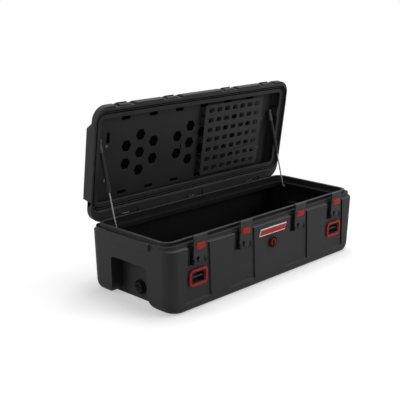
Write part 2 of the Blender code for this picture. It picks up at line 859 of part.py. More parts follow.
def side_lean(z):
    """The same for the lid's front and back."""
    return LID_SIDE_SLOPE * max(0.0, z - LID_SIDE_BEND_Z)


def lid_ring(z, inset):
    outline = rounded_outline(
        LID_LENGTH / 2 - end_lean(z) - inset,
        LID_WIDTH / 2 - side_lean(z) - inset,
        LID_CORNER - inset,
        CORNER_STEPS,
    )
    return [(x, y, z) for x, y in shifted(outline, 0.0, LID_CENTRE_Y)]


def lid_rings(top, inset, radius):
    """Rings from where the ends begin to slope up to the rounded edge of the top."""
    rings = [lid_ring(z, inset) for z in (LID_END_BEND_Z, LID_SIDE_BEND_Z)]
    for rise, edge in reversed(rounded_edge(radius)):
        rings.append(lid_ring(top - rise, inset + edge))
    return rings


def lid_channel(x, grow=0.0):
    """The channel down the lid's front wall, in line with a latch."""
    half = CHANNEL_WIDTH / 2 + grow
    outside = LID_FRONT_Y - CUT_MARGIN
    floor = LID_FRONT_Y + LID_CHANNEL_DEPTH + grow
    foot = LID_FOOT_Z - CUT_MARGIN
    top = LID_TOP_Z + CUT_MARGIN
    outline = [
        (outside, foot),
        (floor, foot),
        (floor, LID_SIDE_BEND_Z),
        (floor + side_lean(top), top),
        (outside, top),
    ]
    return prism("channel", outline, "X", x - half, x + half)


def strap_channel(x, grow=0.0):
    """The shallow strap channel over the top of the lid."""
    half = CHANNEL_WIDTH / 2 + grow
    return block(
        "channel",
        (x - half, LID_FRONT_Y - CUT_MARGIN, LID_TOP_Z - TOP_CHANNEL_DEPTH - grow),
        (x + half, LID_BACK_Y + CUT_MARGIN, LID_TOP_Z + CUT_MARGIN),
    )


def hinge_pocket(x, grow=0.0):
    """The recess in the lid's back that a hinge sits in."""
    half = LEAF_WIDTH / 2 + HINGE_POCKET_GAP + grow
    return block(
        "pocket",
        (x - half, HINGE_SEAT_Y - grow, LID_FOOT_Z - CUT_MARGIN),
        (x + half, LID_BACK_Y + CUT_MARGIN, HINGE_Z + LID_LEAF_RISE + HINGE_POCKET_GAP + grow),
    )


def lid_recesses(grow=0.0):
    made = [lid_channel(x, grow) for x in LATCH_XS]
    made += [strap_channel(x, grow) for x in LATCH_XS]
    made += [hinge_pocket(x, grow) for x in HINGE_XS]
    return made


def lid_pad(side):
    """The raised middle of a lid end, with slanted sides. It runs out on the sloping end."""
    inner = LID_LENGTH / 2 - LID_PAD_ROOT
    face = LID_LENGTH / 2 + LID_PAD_RISE
    levels = (
        (LID_FOOT_Z + LID_PAD_BITE, face),
        (LID_FOOT_Z + LID_PAD_SKIRT, face),
        (LID_TOP_Z - LID_PAD_TOP_DROP, LID_LENGTH / 2 - end_lean(LID_TOP_Z)),
    )
    rings = []
    for z, front in levels:
        wall = LID_LENGTH / 2 - end_lean(z) - LID_PAD_BITE
        foot = LID_PAD_HALF_WIDTH + LID_PAD_SIDE_SLOPE * max(0.0, front - wall)
        outline = [
            (inner, -foot),
            (wall, -foot),
            (front, -LID_PAD_HALF_WIDTH),
            (front, LID_PAD_HALF_WIDTH),
            (wall, foot),
            (inner, foot),
        ]
        rings.append([(side * x, LID_CENTRE_Y + y, z) for x, y in outline])
    return loft("pad", rings)


def boss_places():
    """The four bosses that the hexagon panel is screwed to, two near each end."""
    reach = HEX_HALF_X - BOSS_INSET
    return [(side * reach, y) for side in (-1, 1) for y in (-BOSS_FRONT_Y, BOSS_BACK_Y)]


def latch_keeper(x):
    """The catch in the lid's channel that a hook holds down."""
    top = HOOK_Z - KEEPER_GAP
    front = LID_FRONT_Y
    back = front + LID_CHANNEL_DEPTH + LID_WALL / 2
    outline = [
        (back, top - KEEPER_HEIGHT),
        (back, top),
        (front, top),
        (front, top - KEEPER_HEIGHT + KEEPER_CHAMFER),
        (front + KEEPER_CHAMFER, top - KEEPER_HEIGHT),
    ]
    return prism("keeper", outline, "X", x - KEEPER_WIDTH / 2, x + KEEPER_WIDTH / 2)


def lid_cavity():
    room = LIP_THICKNESS + LIP_CLEARANCE
    rings = [
        opening_ring(room, LID_FOOT_Z - CUT_MARGIN),
        opening_ring(room, SEAL_Z),
        opening_ring(-SEAL_FLANGE, SEAL_Z),
        opening_ring(-SEAL_FLANGE, SEAL_FLANGE_TOP_Z),
        lid_ring(SEAL_FLANGE_TOP_Z, LID_WALL),
    ]
    rings += lid_rings(LID_TOP_Z - LID_WALL, LID_WALL, LID_INNER_RADIUS)
    return cut(loft("cavity", rings), *lid_recesses(LID_WALL))


def lid_rib(x):
    """The rib that stands in the lid's channel above a lever's hook."""
    foot = LEVER_TOP_Z + LID_RIB_GAP
    top = LID_TOP_Z - TOP_CHANNEL_DEPTH - LID_RIB_DROP
    bury = LID_CHANNEL_DEPTH + LID_WALL / 2
    outline = [
        (LID_FRONT_Y + side_lean(foot) + bury, foot),
        (LID_FRONT_Y + side_lean(top) + bury, top),
        (LID_FRONT_Y + side_lean(top), top),
        (LID_FRONT_Y + side_lean(foot) - LID_RIB_PROUD, foot),
    ]
    return prism("rib", outline, "X", x - LID_RIB_WIDTH / 2, x + LID_RIB_WIDTH / 2)


def seal_groove():
    low = SEAL_Z - CUT_MARGIN / 2
    high = SEAL_Z + GROOVE_DEPTH
    inner = -GROOVE_MARGIN
    outer = LIP_THICKNESS + GROOVE_MARGIN
    rings = [
        opening_ring(outer, low),
        opening_ring(outer, high),
        opening_ring(inner, high),
        opening_ring(inner, low),
    ]
    return loft("groove", rings, ring_shaped=True)


def make_lid_shell(material, pivot):
    rings = [lid_ring(LID_FOOT_Z, 0.0)] + lid_rings(LID_TOP_Z, 0.0, LID_EDGE_RADIUS)
    shell = fuse(loft("lid_shell", rings), lid_pad(-1), lid_pad(1))
    cut(shell, lid_cavity(), *lid_recesses(), seal_groove())
    boss_top = LID_TOP_Z - (LID_WALL + TOP_CHANNEL_DEPTH) / 2
    boss_foot = HEX_BACK_Z + SEAT_GAP
    bosses = [
        disc("boss", BOSS_RADIUS, "Z", place, boss_foot, boss_top, PIN_SIDES)
        for place in boss_places()
    ]
    holes = [
        disc(
            "hole",
            SCREW_RADIUS + RUN_GAP,
            "Z",
            place,
            boss_foot - CUT_MARGIN,
            boss_foot + SCREW_BITE + RUN_GAP,
            SCREW_SIDES,
        )
        for place in boss_places()
    ]
    fuse(shell, *bosses, *[latch_keeper(x) for x in LATCH_XS], *[lid_rib(x) for x in LATCH_XS])
    cut(shell, *holes)
    return finish(shell, material, pivot)


def make_gasket(material, pivot):
    low = LIP_Z + SEAT_GAP
    high = SEAL_Z + GROOVE_DEPTH - SEAT_GAP
    rings = [
        opening_ring(LIP_THICKNESS, low),
        opening_ring(LIP_THICKNESS, high),
        opening_ring(0.0, high),
        opening_ring(0.0, low),
    ]
    finish(loft("lid_gasket", rings, ring_shaped=True), material, pivot)


# Panels in the lid


def hexagon_places():
    """Centres of the three flowers of seven hexagons."""
    around = [(0.0, 0.0), (0.0, HEX_ROW), (0.0, -HEX_ROW)]
    around += [(sx * HEX_SIDE_X, sy * HEX_SIDE_Y) for sx in (-1, 1) for sy in (-1, 1)]
    return [(k * FLOWER_PITCH + x, HEX_PANEL_CENTRE + y) for k in (-1, 0, 1) for x, y in around]


def edge_slots():
    """Outlines of the slots along the long edges and of the one near each end."""
    long_way = rounded_outline(
        EDGE_SLOT_LENGTH / 2, EDGE_SLOT_WIDTH / 2, EDGE_SLOT_WIDTH / 4, 2
    )
    upright = [(b, a) for a, b in reversed(long_way)]
    rows = [HEX_PANEL_CENTRE + s * (HEX_PANEL_WIDTH / 2 - EDGE_SLOT_INSET) for s in (-1, 1)]
    columns = [(k + 0.5) * EDGE_SLOT_PITCH for k in range(-3, 3)]
    made = [shifted(long_way, x, y) for x in columns for y in rows]
    end_x = HEX_HALF_X - END_SLOT_INSET
    made += [shifted(upright, s * end_x, HEX_PANEL_CENTRE - END_SLOT_OFFSET) for s in (-1, 1)]
    return made


def spacer_places():
    reach = SLOT_PANEL_LENGTH / 2 - SPACER_INSET
    return [
        (SLOT_PANEL_CENTRE_X + sx * reach, SLOT_PANEL_CENTRE_Y + sy * SPACER_OFFSET_Y)
        for sx in (-1, 1)
        for sy in (-1, 1)
    ]


def punch(panel, outlines, low, high):
    """Cut a set of separate holes through a panel in one go."""
    tools = [prism("hole", outline, "Z", low - CUT_MARGIN, high + CUT_MARGIN) for outline in outlines]
    return cut(panel, join_as_group("holes", tools))


def screw_hole(place):
    return circle_outline(SCREW_RADIUS + RUN_GAP, SCREW_SIDES, *place)


def make_hex_panel(black, steel, pivot):
    outline = rounded_outline(HEX_HALF_X, HEX_PANEL_WIDTH / 2, HEX_PANEL_CORNER, EDGE_STEPS)
    outline = shifted(outline, 0.0, HEX_PANEL_CENTRE)
    panel = prism("hex_panel", outline, "Z", HEX_Z, HEX_BACK_Z)
    corner_turns = [math.radians(60 * i) for i in range(6)]
    hexagon = [(HEX_RADIUS * math.cos(a), HEX_RADIUS * math.sin(a)) for a in corner_turns]
    holes = [shifted(hexagon, x, y) for x, y in hexagon_places()]
    holes += edge_slots()
    holes += [screw_hole(place) for place in boss_places()]
    finish(punch(panel, holes, HEX_Z, HEX_BACK_Z), black, pivot)

    shank = HEX_PANEL_THICKNESS + SEAT_GAP + SCREW_BITE
    for number, (x, y) in enumerate(boss_places(), start=1):
        made = screw(f"hex_panel_screw_{number}", shank)
        finish(move(made, Matrix.Translation((x, y, HEX_Z - SEAT_GAP))), steel, pivot)


def make_slot_panel(black, pivot):
    """The slotted panel, with four pressed-in spacers that hold it off the hexagon panel."""
    back = SLOT_Z + SLOT_PANEL_THICKNESS
    centre = (SLOT_PANEL_CENTRE_X, SLOT_PANEL_CENTRE_Y)
    outline = rounded_outline(
        SLOT_PANEL_LENGTH / 2, SLOT_PANEL_WIDTH / 2, SLOT_PANEL_CORNER, EDGE_STEPS
    )
    panel = prism("slot_panel", shifted(outline, *centre), "Z", SLOT_Z, back)
    half = (SLOT_COUNT - 1) / 2
    slot = rounded_outline(SLOT_LENGTH / 2, SLOT_WIDTH / 2, SLOT_WIDTH / 5, 1)
    holes = [
        shifted(slot, centre[0] + (i - half) * SLOT_PITCH_X, centre[1] + (j - half) * SLOT_PITCH_Y)
        for i in range(SLOT_COUNT)
        for j in range(SLOT_COUNT)
    ]
    punch(panel, holes, SLOT_Z, back)
    spacers = [
        disc("spacer", SPACER_RADIUS, "Z", place, SLOT_Z + SEAT_GAP, HEX_Z - SEAT_GAP, PIN_SIDES)
        for place in spacer_places()
    ]
    finish(fuse(panel, *spacers), black, pivot)


# Hinges


def base_leaf(name, x):
    """The leaf on the base's back wall, with a knuckle at each side."""
    inner_y = BODY_WIDTH / 2 + SEAT_GAP
    half = LEAF_WIDTH / 2
    leaf = block(
        name,
        (x - half, inner_y, HINGE_Z - BASE_LEAF_DROP),
        (x + half, inner_y + LEAF_THICKNESS, HINGE_Z),
    )
    middle = MIDDLE_KNUCKLE_LENGTH / 2 + KNUCKLE_SIDE_GAP
    knuckles = [
        disc("knuckle", KNUCKLE_RADIUS, "X", (HINGE_Y, HINGE_Z), start, end, PIN_SIDES)
        for start, end in ((x - half, x - middle), (x + middle, x + half))
    ]
    window = block(
        "window",
        (x - middle, HINGE_Y - 2 * KNUCKLE_RADIUS, HINGE_Z - KNUCKLE_RADIUS - KNUCKLE_SIDE_GAP),
        (x + middle, HINGE_Y + 2 * KNUCKLE_RADIUS, HINGE_Z + 2 * KNUCKLE_RADIUS),
    )
    return cut(fuse(leaf, *knuckles), window)


def lid_leaf(name, x):
    """The leaf in the lid's hinge pocket, with one knuckle in the middle."""
    inner_y = HINGE_SEAT_Y + SEAT_GAP
    half = LEAF_WIDTH / 2
    middle = MIDDLE_KNUCKLE_LENGTH / 2
    foot = HINGE_Z + KNUCKLE_RADIUS + KNUCKLE_SIDE_GAP
    leaf = block(
        name,
        (x - half, inner_y, foot),
        (x + half, inner_y + LEAF_THICKNESS, HINGE_Z + LID_LEAF_RISE),
    )
    knuckle = disc(
        "knuckle", KNUCKLE_RADIUS, "X", (HINGE_Y, HINGE_Z), x - middle, x + middle, PIN_SIDES
    )
    arm = block(
        "arm",
        (x - middle, inner_y, HINGE_Z + KNUCKLE_RADIUS / 2),
        (x + middle, HINGE_Y, foot + LEAF_THICKNESS / 2),
    )
    return fuse(leaf, knuckle, arm)


def hinge_bore(x):
    return disc(
        "bore",
        HINGE_PIN_RADIUS + RUN_GAP,
        "X",
        (HINGE_Y, HINGE_Z),
        x - LEAF_WIDTH,
        x + LEAF_WIDTH,
        PIN_SIDES,
    )


def make_hinges(steel, lid_pivot):
    half = LEAF_WIDTH / 2
    for side_name, x in zip(("left", "middle", "right"), HINGE_XS):
        finish(cut(base_leaf(f"hinge_base_leaf_{side_name}", x), hinge_bore(x)), steel)
        finish(cut(lid_leaf(f"hinge_lid_leaf_{side_name}", x), hinge_bore(x)), steel, lid_pivot)
        pin = disc(
            f"hinge_pin_{side_name}",
            HINGE_PIN_RADIUS,
            "X",
            (HINGE_Y, HINGE_Z),
            x - half,
            x + half,
            PIN_SIDES,
        )
        finish(pin, steel)


# Latches, drawn shut and then let out by their rest angle


def latch_bore(x):
    return disc(
        "bore",
        LATCH_PIN_RADIUS + RUN_GAP,
        "X",
        (PIVOT_Y, PIVOT_Z),
        x - LEVER_WIDTH,
        x + LEVER_WIDTH,
        PIN_SIDES,
    )


def latch_bracket(name, x):
    """Plate on the pocket floor with an ear at each side of the lever's foot."""
    half = LEVER_WIDTH / 2
    plate_out = POCKET_FLOOR_Y - SEAT_GAP - BRACKET_PLATE
    plate = block(
        name,
        (x - half, plate_out, PIVOT_Z - EAR_FOOT),
        (x + half, POCKET_FLOOR_Y - SEAT_GAP, PIVOT_Z - EAR_FOOT + BRACKET_HEIGHT),
    )
    root = plate_out + BRACKET_PLATE / 2
    outline = [
        (root, PIVOT_Z - EAR_FOOT),
        (root, PIVOT_Z + EAR_RISE),
        (PIVOT_Y, PIVOT_Z + EAR_RISE),
        (LEVER_OUT_Y, PIVOT_Z + EAR_RISE / 2),
        (LEVER_OUT_Y, PIVOT_Z - EAR_FOOT),
    ]
    ears = [
        prism("ear", outline, "X", start, start + EAR_WIDTH)
        for start in (x - half, x + half - EAR_WIDTH)
    ]
    return cut(fuse(plate, *ears), latch_bore(x))


def latch_lever(name, x):
    """Lever plate with a hook at its top, a pivot barrel at its foot and a pocket for the button."""
    notch_z = PIVOT_Z + EAR_RISE + 2 * RUN_GAP
    tip_y = LEVER_IN_Y + HOOK_REACH
    chamfer = HOOK_REACH / 2
    outline = [
        (LEVER_OUT_Y, notch_z),
        (LEVER_IN_Y, notch_z),
        (LEVER_IN_Y, HOOK_Z),
        (tip_y, HOOK_Z),
        (tip_y, LEVER_TOP_Z - chamfer),
        (tip_y - chamfer, LEVER_TOP_Z),
        (LEVER_OUT_Y + chamfer, LEVER_TOP_Z),
        (LEVER_OUT_Y, LEVER_TOP_Z - chamfer),
    ]
    half = LEVER_WIDTH / 2
    plate = prism(name, outline, "X", x - half, x + half)
    tongue_half = half - EAR_WIDTH - EAR_SLIT
    tongue = block(
        "tongue",
        (x - tongue_half, LEVER_OUT_Y, PIVOT_Z),
        (x + tongue_half, LEVER_IN_Y, notch_z + LEVER_THICKNESS),
    )
    barrel = disc(
        "barrel",
        BARREL_RADIUS,
        "X",
        (PIVOT_Y, PIVOT_Z),
        x - tongue_half,
        x + tongue_half,
        ROUND_SIDES,
    )
    fuse(plate, tongue, barrel)
    pocket = prism(
        "pocket",
        shifted(
            rounded_outline(
                BUTTON_WIDTH / 2 + RUN_GAP,
                BUTTON_HEIGHT / 2 + RUN_GAP,
                BUTTON_CORNER,
                EDGE_STEPS,
            ),
            x,
            BUTTON_Z,
        ),
        "Y",
        LEVER_OUT_Y - CUT_MARGIN,
        LEVER_OUT_Y + BUTTON_POCKET,
    )
    lock_hole = disc(
        "hole",
        LOCK_HOLE_RADIUS,
        "Y",
        (x - LOCK_HOLE_SHIFT, PIVOT_Z + LOCK_HOLE_RISE),
        LEVER_OUT_Y - CUT_MARGIN,
        LEVER_OUT_Y + LOCK_HOLE_DEPTH,
        PIN_SIDES,
    )
    return cut(plate, latch_bore(x), pocket, lock_hole)


def latch_button(name, x):
    outline = rounded_outline(BUTTON_WIDTH / 2, BUTTON_HEIGHT / 2, BUTTON_CORNER, EDGE_STEPS)
    front = LEVER_OUT_Y - BUTTON_PROUD
    return prism(name, shifted(outline, x, BUTTON_Z), "Y", front, front + BUTTON_THICKNESS)


def button_spring(name, x):
    """A bowed leaf spring between the button and the floor of its pocket."""
    floor = LEVER_OUT_Y + BUTTON_POCKET - SEAT_GAP
    button_back = LEVER_OUT_Y - BUTTON_PROUD + BUTTON_THICKNESS
    bow = floor - button_back - SEAT_GAP - SPRING_THICKNESS
    steps = 6
    fractions = [i / steps for i in range(steps + 1)]
    line = [
        (x + (f - 0.5) * SPRING_LENGTH, floor - bow * math.sin(math.pi * f)) for f in fractions
    ]
    outline = line + [(a, b - SPRING_THICKNESS) for a, b in reversed(line)]
    return prism(name, outline, "Z", BUTTON_Z - SPRING_WIDTH / 2, BUTTON_Z + SPRING_WIDTH / 2)


def make_latches(black, red, steel):
    for number, x in enumerate(LATCH_XS, start=1):
        pivot = add_pivot(
            f"latch_pivot_{number}", Vector((x, PIVOT_Y, PIVOT_Z)), LEVER_REST_ANGLE
        )
        finish(latch_bracket(f"latch_bracket_{number}", x), black)
        finish(latch_lever(f"latch_lever_{number}", x), black, pivot)
        finish(latch_button(f"latch_button_{number}", x), red, pivot)
        finish(button_spring(f"button_spring_{number}", x), steel, pivot)
        half = LEVER_WIDTH / 2 - RUN_GAP
        pin = disc(
            f"latch_pin_{number}",
            LATCH_PIN_RADIUS,
            "X",
            (PIVOT_Y, PIVOT_Z),
            x - half,
            x + half,
            PIN_SIDES,
        )
        finish(pin, steel)


# Gas struts


def lid_opened(point):
    """Where a point of the closed lid, as Y and Z, lies when the lid is open."""
    arm = point - Vector((HINGE_Y, HINGE_Z))
    turned = Matrix.Rotation(-OPEN_ANGLE, 2) @ arm
    return Vector((HINGE_Y, HINGE_Z)) + turned


def make_strut(side_name, side, black, steel, lid_pivot):
    """One gas strut: rod on the base's stud, cylinder over the rod, brackets at both ends."""
    x = side * STRUT_X
    lid_end = lid_opened(STRUT_LID_SHUT)
    open_length = (lid_end - STRUT_BASE).length
    closed_length = (STRUT_LID_SHUT - STRUT_BASE).length
    mouth = CLOSED_ROD_GAP + open_length - closed_length
    along = lid_end - STRUT_BASE
    pivot = add_pivot(
        f"strut_pivot_{side_name}",
        Vector((x, STRUT_BASE.x, STRUT_BASE.y)),
        -math.atan2(along.x, along.y),
    )

    # Rod, drawn along Z from the base pivot
    eye_half = EYE_THICKNESS / 2
    tip = mouth + PISTON_INSERT
    rod = fuse(
        disc(f"strut_rod_{side_name}", EYE_RADIUS, "X", (0.0, 0.0), -eye_half, eye_half),
        disc("rod", ROD_RADIUS, "Z", (0.0, 0.0), EYE_RADIUS / 2, tip, PIN_SIDES),
        disc("piston", PISTON_RADIUS, "Z", (0.0, 0.0), tip - PISTON_LENGTH, tip, PIN_SIDES),
    )
    bore = disc("bore", STUD_RADIUS + RUN_GAP, "X", (0.0, 0.0), -EYE_RADIUS, EYE_RADIUS, PIN_SIDES)
    finish(cut(rod, bore), steel)
    rod.parent = pivot

    # Cylinder with its eye, and the gland bush in its mouth
    body_end = open_length - EYE_RADIUS / 2
    cylinder = fuse(
        disc(f"strut_cylinder_{side_name}", CYLINDER_RADIUS, "Z", (0.0, 0.0), mouth, body_end),
        disc(
            "eye", EYE_RADIUS, "X", (0.0, open_length), -CYLINDER_RADIUS, CYLINDER_RADIUS
        ),
    )
    hollow = disc(
        "hollow",
        CYLINDER_BORE,
        "Z",
        (0.0, 0.0),
        mouth - CUT_MARGIN,
        open_length - EYE_RADIUS - CYLINDER_CAP,
        PIN_SIDES,
    )
    finish(cut(cylinder, hollow), black)
    cylinder.parent = pivot
    gland = disc(
        f"strut_gland_{side_name}",
        CYLINDER_BORE - SEAT_GAP,
        "Z",
        (0.0, 0.0),
        mouth + SEAT_GAP,
        mouth + GLAND_LENGTH,
        PIN_SIDES,
    )
    gland_hole = disc(
        "hole",
        ROD_RADIUS + RUN_GAP,
        "Z",
        (0.0, 0.0),
        mouth - CUT_MARGIN,
        mouth + GLAND_LENGTH + CUT_MARGIN,
        PIN_SIDES,
    )
    finish(cut(gland, gland_hole), black)
    gland.parent = pivot

    # Brackets: the base's stud goes through the rod's eye, the lid's stops beside the cylinder's eye
    shelf_x = OPENING_LENGTH / 2 - SHELF_REACH
    seat_x = shelf_x - SEAT_GAP
    plate_x = seat_x - STRUT_PLATE_THICKNESS
    foot_z = SHELF_Z - SHELF_LIP_HEIGHT + STRUT_PLATE_MARGIN
    stud_end = STRUT_X - eye_half - STUD_END
    base_bracket = bracket_with_stud(
        f"strut_base_bracket_{side_name}",
        side,
        (plate_x, seat_x),
        STRUT_BASE,
        (foot_z, SHELF_Z - STRUT_PLATE_MARGIN),
        stud_end,
    )
    finish(base_bracket, steel)
    seat_x = OPENING_LENGTH / 2 - SEAL_FLANGE - SEAT_GAP
    plate_x = seat_x - STRUT_PLATE_THICKNESS
    lid_bracket = bracket_with_stud(
        f"strut_lid_bracket_{side_name}",
        side,
        (plate_x, seat_x),
        STRUT_LID_SHUT,
        (SEAL_Z + STRUT_PLATE_MARGIN, STRUT_LID_SHUT.y + EYE_RADIUS),
        STRUT_X + CYLINDER_RADIUS + SEAT_GAP,
    )
    finish(lid_bracket, steel, lid_pivot)


def bracket_with_stud(name, side, plate_xs, centre, plate_zs, stud_end):
    """A flat plate on an upright face with a stud towards the middle of the case."""
    xs = sorted((side * plate_xs[0], side * plate_xs[1]))
    half = STRUT_PLATE_LENGTH / 2
    plate = block(
        name, (xs[0], centre.x - half, plate_zs[0]), (xs[1], centre.x + half, plate_zs[1])
    )
    root = side * (plate_xs[0] + plate_xs[1]) / 2
    ends = sorted((root, side * stud_end))
    return fuse(plate, disc("stud", STUD_RADIUS, "X", tuple(centre), ends[0], ends[1], PIN_SIDES))


def main():
    clear_scene()
    shell_black = make_material("shell_black", (0.030, 0.030, 0.031), 0.55)
    panel_black = make_material("panel_black", (0.020, 0.020, 0.021), 0.50)
    fitting_black = make_material("fitting_black", (0.022, 0.022, 0.023), 0.45)
    rubber = make_material("seal_rubber", (0.012, 0.012, 0.012), 0.80)
    red = make_material("signal_red", (0.44, 0.024, 0.023), 0.40)
    pale = make_material("badge_pale", (0.80, 0.80, 0.80), 0.40)
    steel = make_material("steel", (0.55, 0.55, 0.56), 0.30, 1.0)
    dark_steel = make_material("dark_steel", (0.05, 0.05, 0.052), 0.40, 0.6)

    make_base_shell(shell_black)
    for side_name, x in (("left", LATCH_XS[0]), ("right", LATCH_XS[-1])):
        make_tiedown(side_name, x, red, fitting_black)
    make_badge(pale, red)
    make_valve(fitting_black, red)
    make_drain(fitting_black)

    lid_pivot = add_pivot("lid_pivot", Vector((0.0, HINGE_Y, HINGE_Z)), -OPEN_ANGLE)
    make_lid_shell(shell_black, lid_pivot)
    make_gasket(rubber, lid_pivot)
    make_hex_panel(panel_black, dark_steel, lid_pivot)
    make_slot_panel(panel_black, lid_pivot)
    make_hinges(dark_steel, lid_pivot)
    make_latches(fitting_black, red, dark_steel)
    for side_name, side in (("left", -1), ("right", 1)):
        make_strut(side_name, side, fitting_black, steel, lid_pivot)


main()
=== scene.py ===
# %% [markdown]
# A long cargo case, moulded in black plastic, stands open on a white studio floor. The imported solids
# come in first as a fixed frame, and the pieces below take their places from it. Lengths are in metres.

# %% Load the imported case
import json
import math
import bmesh
import bpy
from mathutils import Matrix, Vector

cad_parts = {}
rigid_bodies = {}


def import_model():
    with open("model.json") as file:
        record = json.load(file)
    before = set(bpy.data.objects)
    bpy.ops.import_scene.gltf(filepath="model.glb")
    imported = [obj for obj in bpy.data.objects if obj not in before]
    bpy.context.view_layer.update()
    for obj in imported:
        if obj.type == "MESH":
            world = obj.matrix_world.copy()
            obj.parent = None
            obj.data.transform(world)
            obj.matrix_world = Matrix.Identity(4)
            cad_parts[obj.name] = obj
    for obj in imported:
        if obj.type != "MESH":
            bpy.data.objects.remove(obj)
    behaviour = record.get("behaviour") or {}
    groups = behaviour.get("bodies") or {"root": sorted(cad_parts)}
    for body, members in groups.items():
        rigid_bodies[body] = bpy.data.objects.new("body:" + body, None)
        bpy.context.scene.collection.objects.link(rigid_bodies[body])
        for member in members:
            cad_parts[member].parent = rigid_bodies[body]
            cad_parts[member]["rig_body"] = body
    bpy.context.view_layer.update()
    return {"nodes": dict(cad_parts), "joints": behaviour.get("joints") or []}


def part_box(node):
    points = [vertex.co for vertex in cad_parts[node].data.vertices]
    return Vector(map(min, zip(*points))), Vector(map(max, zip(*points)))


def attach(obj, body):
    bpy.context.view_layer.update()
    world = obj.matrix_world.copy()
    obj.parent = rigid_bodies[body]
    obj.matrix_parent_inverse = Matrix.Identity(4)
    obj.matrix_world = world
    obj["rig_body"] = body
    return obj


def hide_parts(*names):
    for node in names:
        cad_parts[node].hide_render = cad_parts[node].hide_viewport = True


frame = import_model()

# %% [markdown]
# The camera stands at the front left and looks down a little, through a short telephoto lens. A lens
# shift could frame the case too, but a camera that is simply aimed at it is easier to move later. The
# focal length is given for a square picture on a 36 mm sensor.

# %% Camera
CAMERA_PLACE = Vector((-2.3656, -2.1516, 1.1529))
CAMERA_AIM = Vector((-0.1751, 0.0, 0.3144))
CAMERA_LENS_MM = 75.03
CAMERA_SENSOR_MM = 36.0
CAMERA_REACH = 200.0

camera = bpy.data.objects.new("camera", bpy.data.cameras.new("camera"))
camera.data.sensor_width = CAMERA_SENSOR_MM
camera.data.lens = CAMERA_LENS_MM
camera.data.clip_end = CAMERA_REACH
camera.location = CAMERA_PLACE
camera.rotation_euler = (CAMERA_AIM - CAMERA_PLACE).to_track_quat("-Z", "Y").to_euler()
bpy.context.scene.collection.objects.link(camera)
bpy.context.scene.camera = camera
print("camera at", tuple(round(v, 3) for v in camera.location))

# %% [markdown]
# The studio is a white floor under large soft lamps. The floor could be lit until it burns out, but
# that would flood the case as well. Instead the floor adds light of its own to rays that come from the
# camera, so it reads as white paper and still carries the soft shadow, and further out it fades to
# plain white. Mirror-like surfaces see the same white.

# %% Studio floor
FLOOR_SIZE = 60.0
FLOOR_GAP = 0.0004
FLOOR_COLOUR = (0.56, 0.56, 0.56, 1.0)
FLOOR_GLOW = 0.44
FADE_START = 0.75
FADE_END = 1.60


def new_material(name):
    """An empty node material with its output node, as (material, nodes, links, output)."""
    material = bpy.data.materials.new(name)
    material.use_nodes = True
    nodes = material.node_tree.nodes
    nodes.clear()
    output = nodes.new("ShaderNodeOutputMaterial")
    return material, nodes, material.node_tree.links, output


def calculated(nodes, links, operation, first, second):
    """A Math node between two values, each a socket or a number."""
    node = nodes.new("ShaderNodeMath")
    node.operation = operation
    for socket, value in zip(node.inputs, (first, second)):
        if isinstance(value, (int, float)):
            socket.default_value = value
        else:
            links.new(value, socket)
    return node.outputs[0]


def seen_rays(nodes, links):
    """1 where a ray comes from the camera, a mirror or glass, and 0 for soft light."""
    path = nodes.new("ShaderNodeLightPath")
    mirror = calculated(
        nodes, links, "MAXIMUM", path.outputs["Is Glossy Ray"], path.outputs["Is Transmission Ray"]
    )
    return calculated(nodes, links, "MAXIMUM", path.outputs["Is Camera Ray"], mirror)


half = FLOOR_SIZE / 2
corners = [(-half, -half), (half, -half), (half, half), (-half, half)]
floor_mesh = bpy.data.meshes.new("studio_floor")
floor_mesh.from_pydata([(x, y, -FLOOR_GAP) for x, y in corners], [], [(0, 1, 2, 3)])
floor = bpy.data.objects.new("studio_floor", floor_mesh)
bpy.context.scene.collection.objects.link(floor)

floor_paper, nodes, links, output = new_material("floor_paper")
seen = seen_rays(nodes, links)
paper = nodes.new("ShaderNodeBsdfDiffuse")
paper.inputs["Color"].default_value = FLOOR_COLOUR
glow = nodes.new("ShaderNodeEmission")
links.new(calculated(nodes, links, "MULTIPLY", seen, FLOOR_GLOW), glow.inputs["Strength"])
lit_paper = nodes.new("ShaderNodeAddShader")
links.new(paper.outputs[0], lit_paper.inputs[0])
links.new(glow.outputs[0], lit_paper.inputs[1])
distance = nodes.new("ShaderNodeVectorMath")
distance.operation = "LENGTH"
links.new(nodes.new("ShaderNodeTexCoord").outputs["Object"], distance.inputs[0])
fade = nodes.new("ShaderNodeMapRange")
fade.interpolation_type = "SMOOTHSTEP"
fade.inputs["From Min"].default_value = FADE_START
fade.inputs["From Max"].default_value = FADE_END
links.new(distance.outputs["Value"], fade.inputs["Value"])
far_white = nodes.new("ShaderNodeEmission")
surface = nodes.new("ShaderNodeMixShader")
links.new(calculated(nodes, links, "MULTIPLY", seen, fade.outputs[0]), surface.inputs[0])
links.new(lit_paper.outputs[0], surface.inputs[1])
links.new(far_white.outputs[0], surface.inputs[2])
links.new(surface.outputs[0], output.inputs["Surface"])
floor_mesh.materials.append(floor_paper)
print("floor", FLOOR_SIZE, "m, white from", FADE_END, "m out")

# %% [markdown]
# The world gives an even, low light, and three large lamps shape it: one above, one at the front right
# and a weak one at the back left. Small lamps would draw hard shadows, which a studio avoids. A lamp is
# given by its place, its size and its power in watts.

# %% World and lamps
WORLD_COLOUR = (1.0, 1.0, 1.0, 1.0)
WORLD_LIGHT = 0.21
TOP_LAMP = ((0.6, 0.1, 3.2), 2.4, 106.0)
FRONT_LAMP = ((2.0, -3.0, 2.0), 1.6, 52.0)
SIDE_LAMP = ((-3.0, 1.6, 1.5), 1.6, 36.0)
LAMP_AIM = Vector((0.0, 0.0, 0.25))

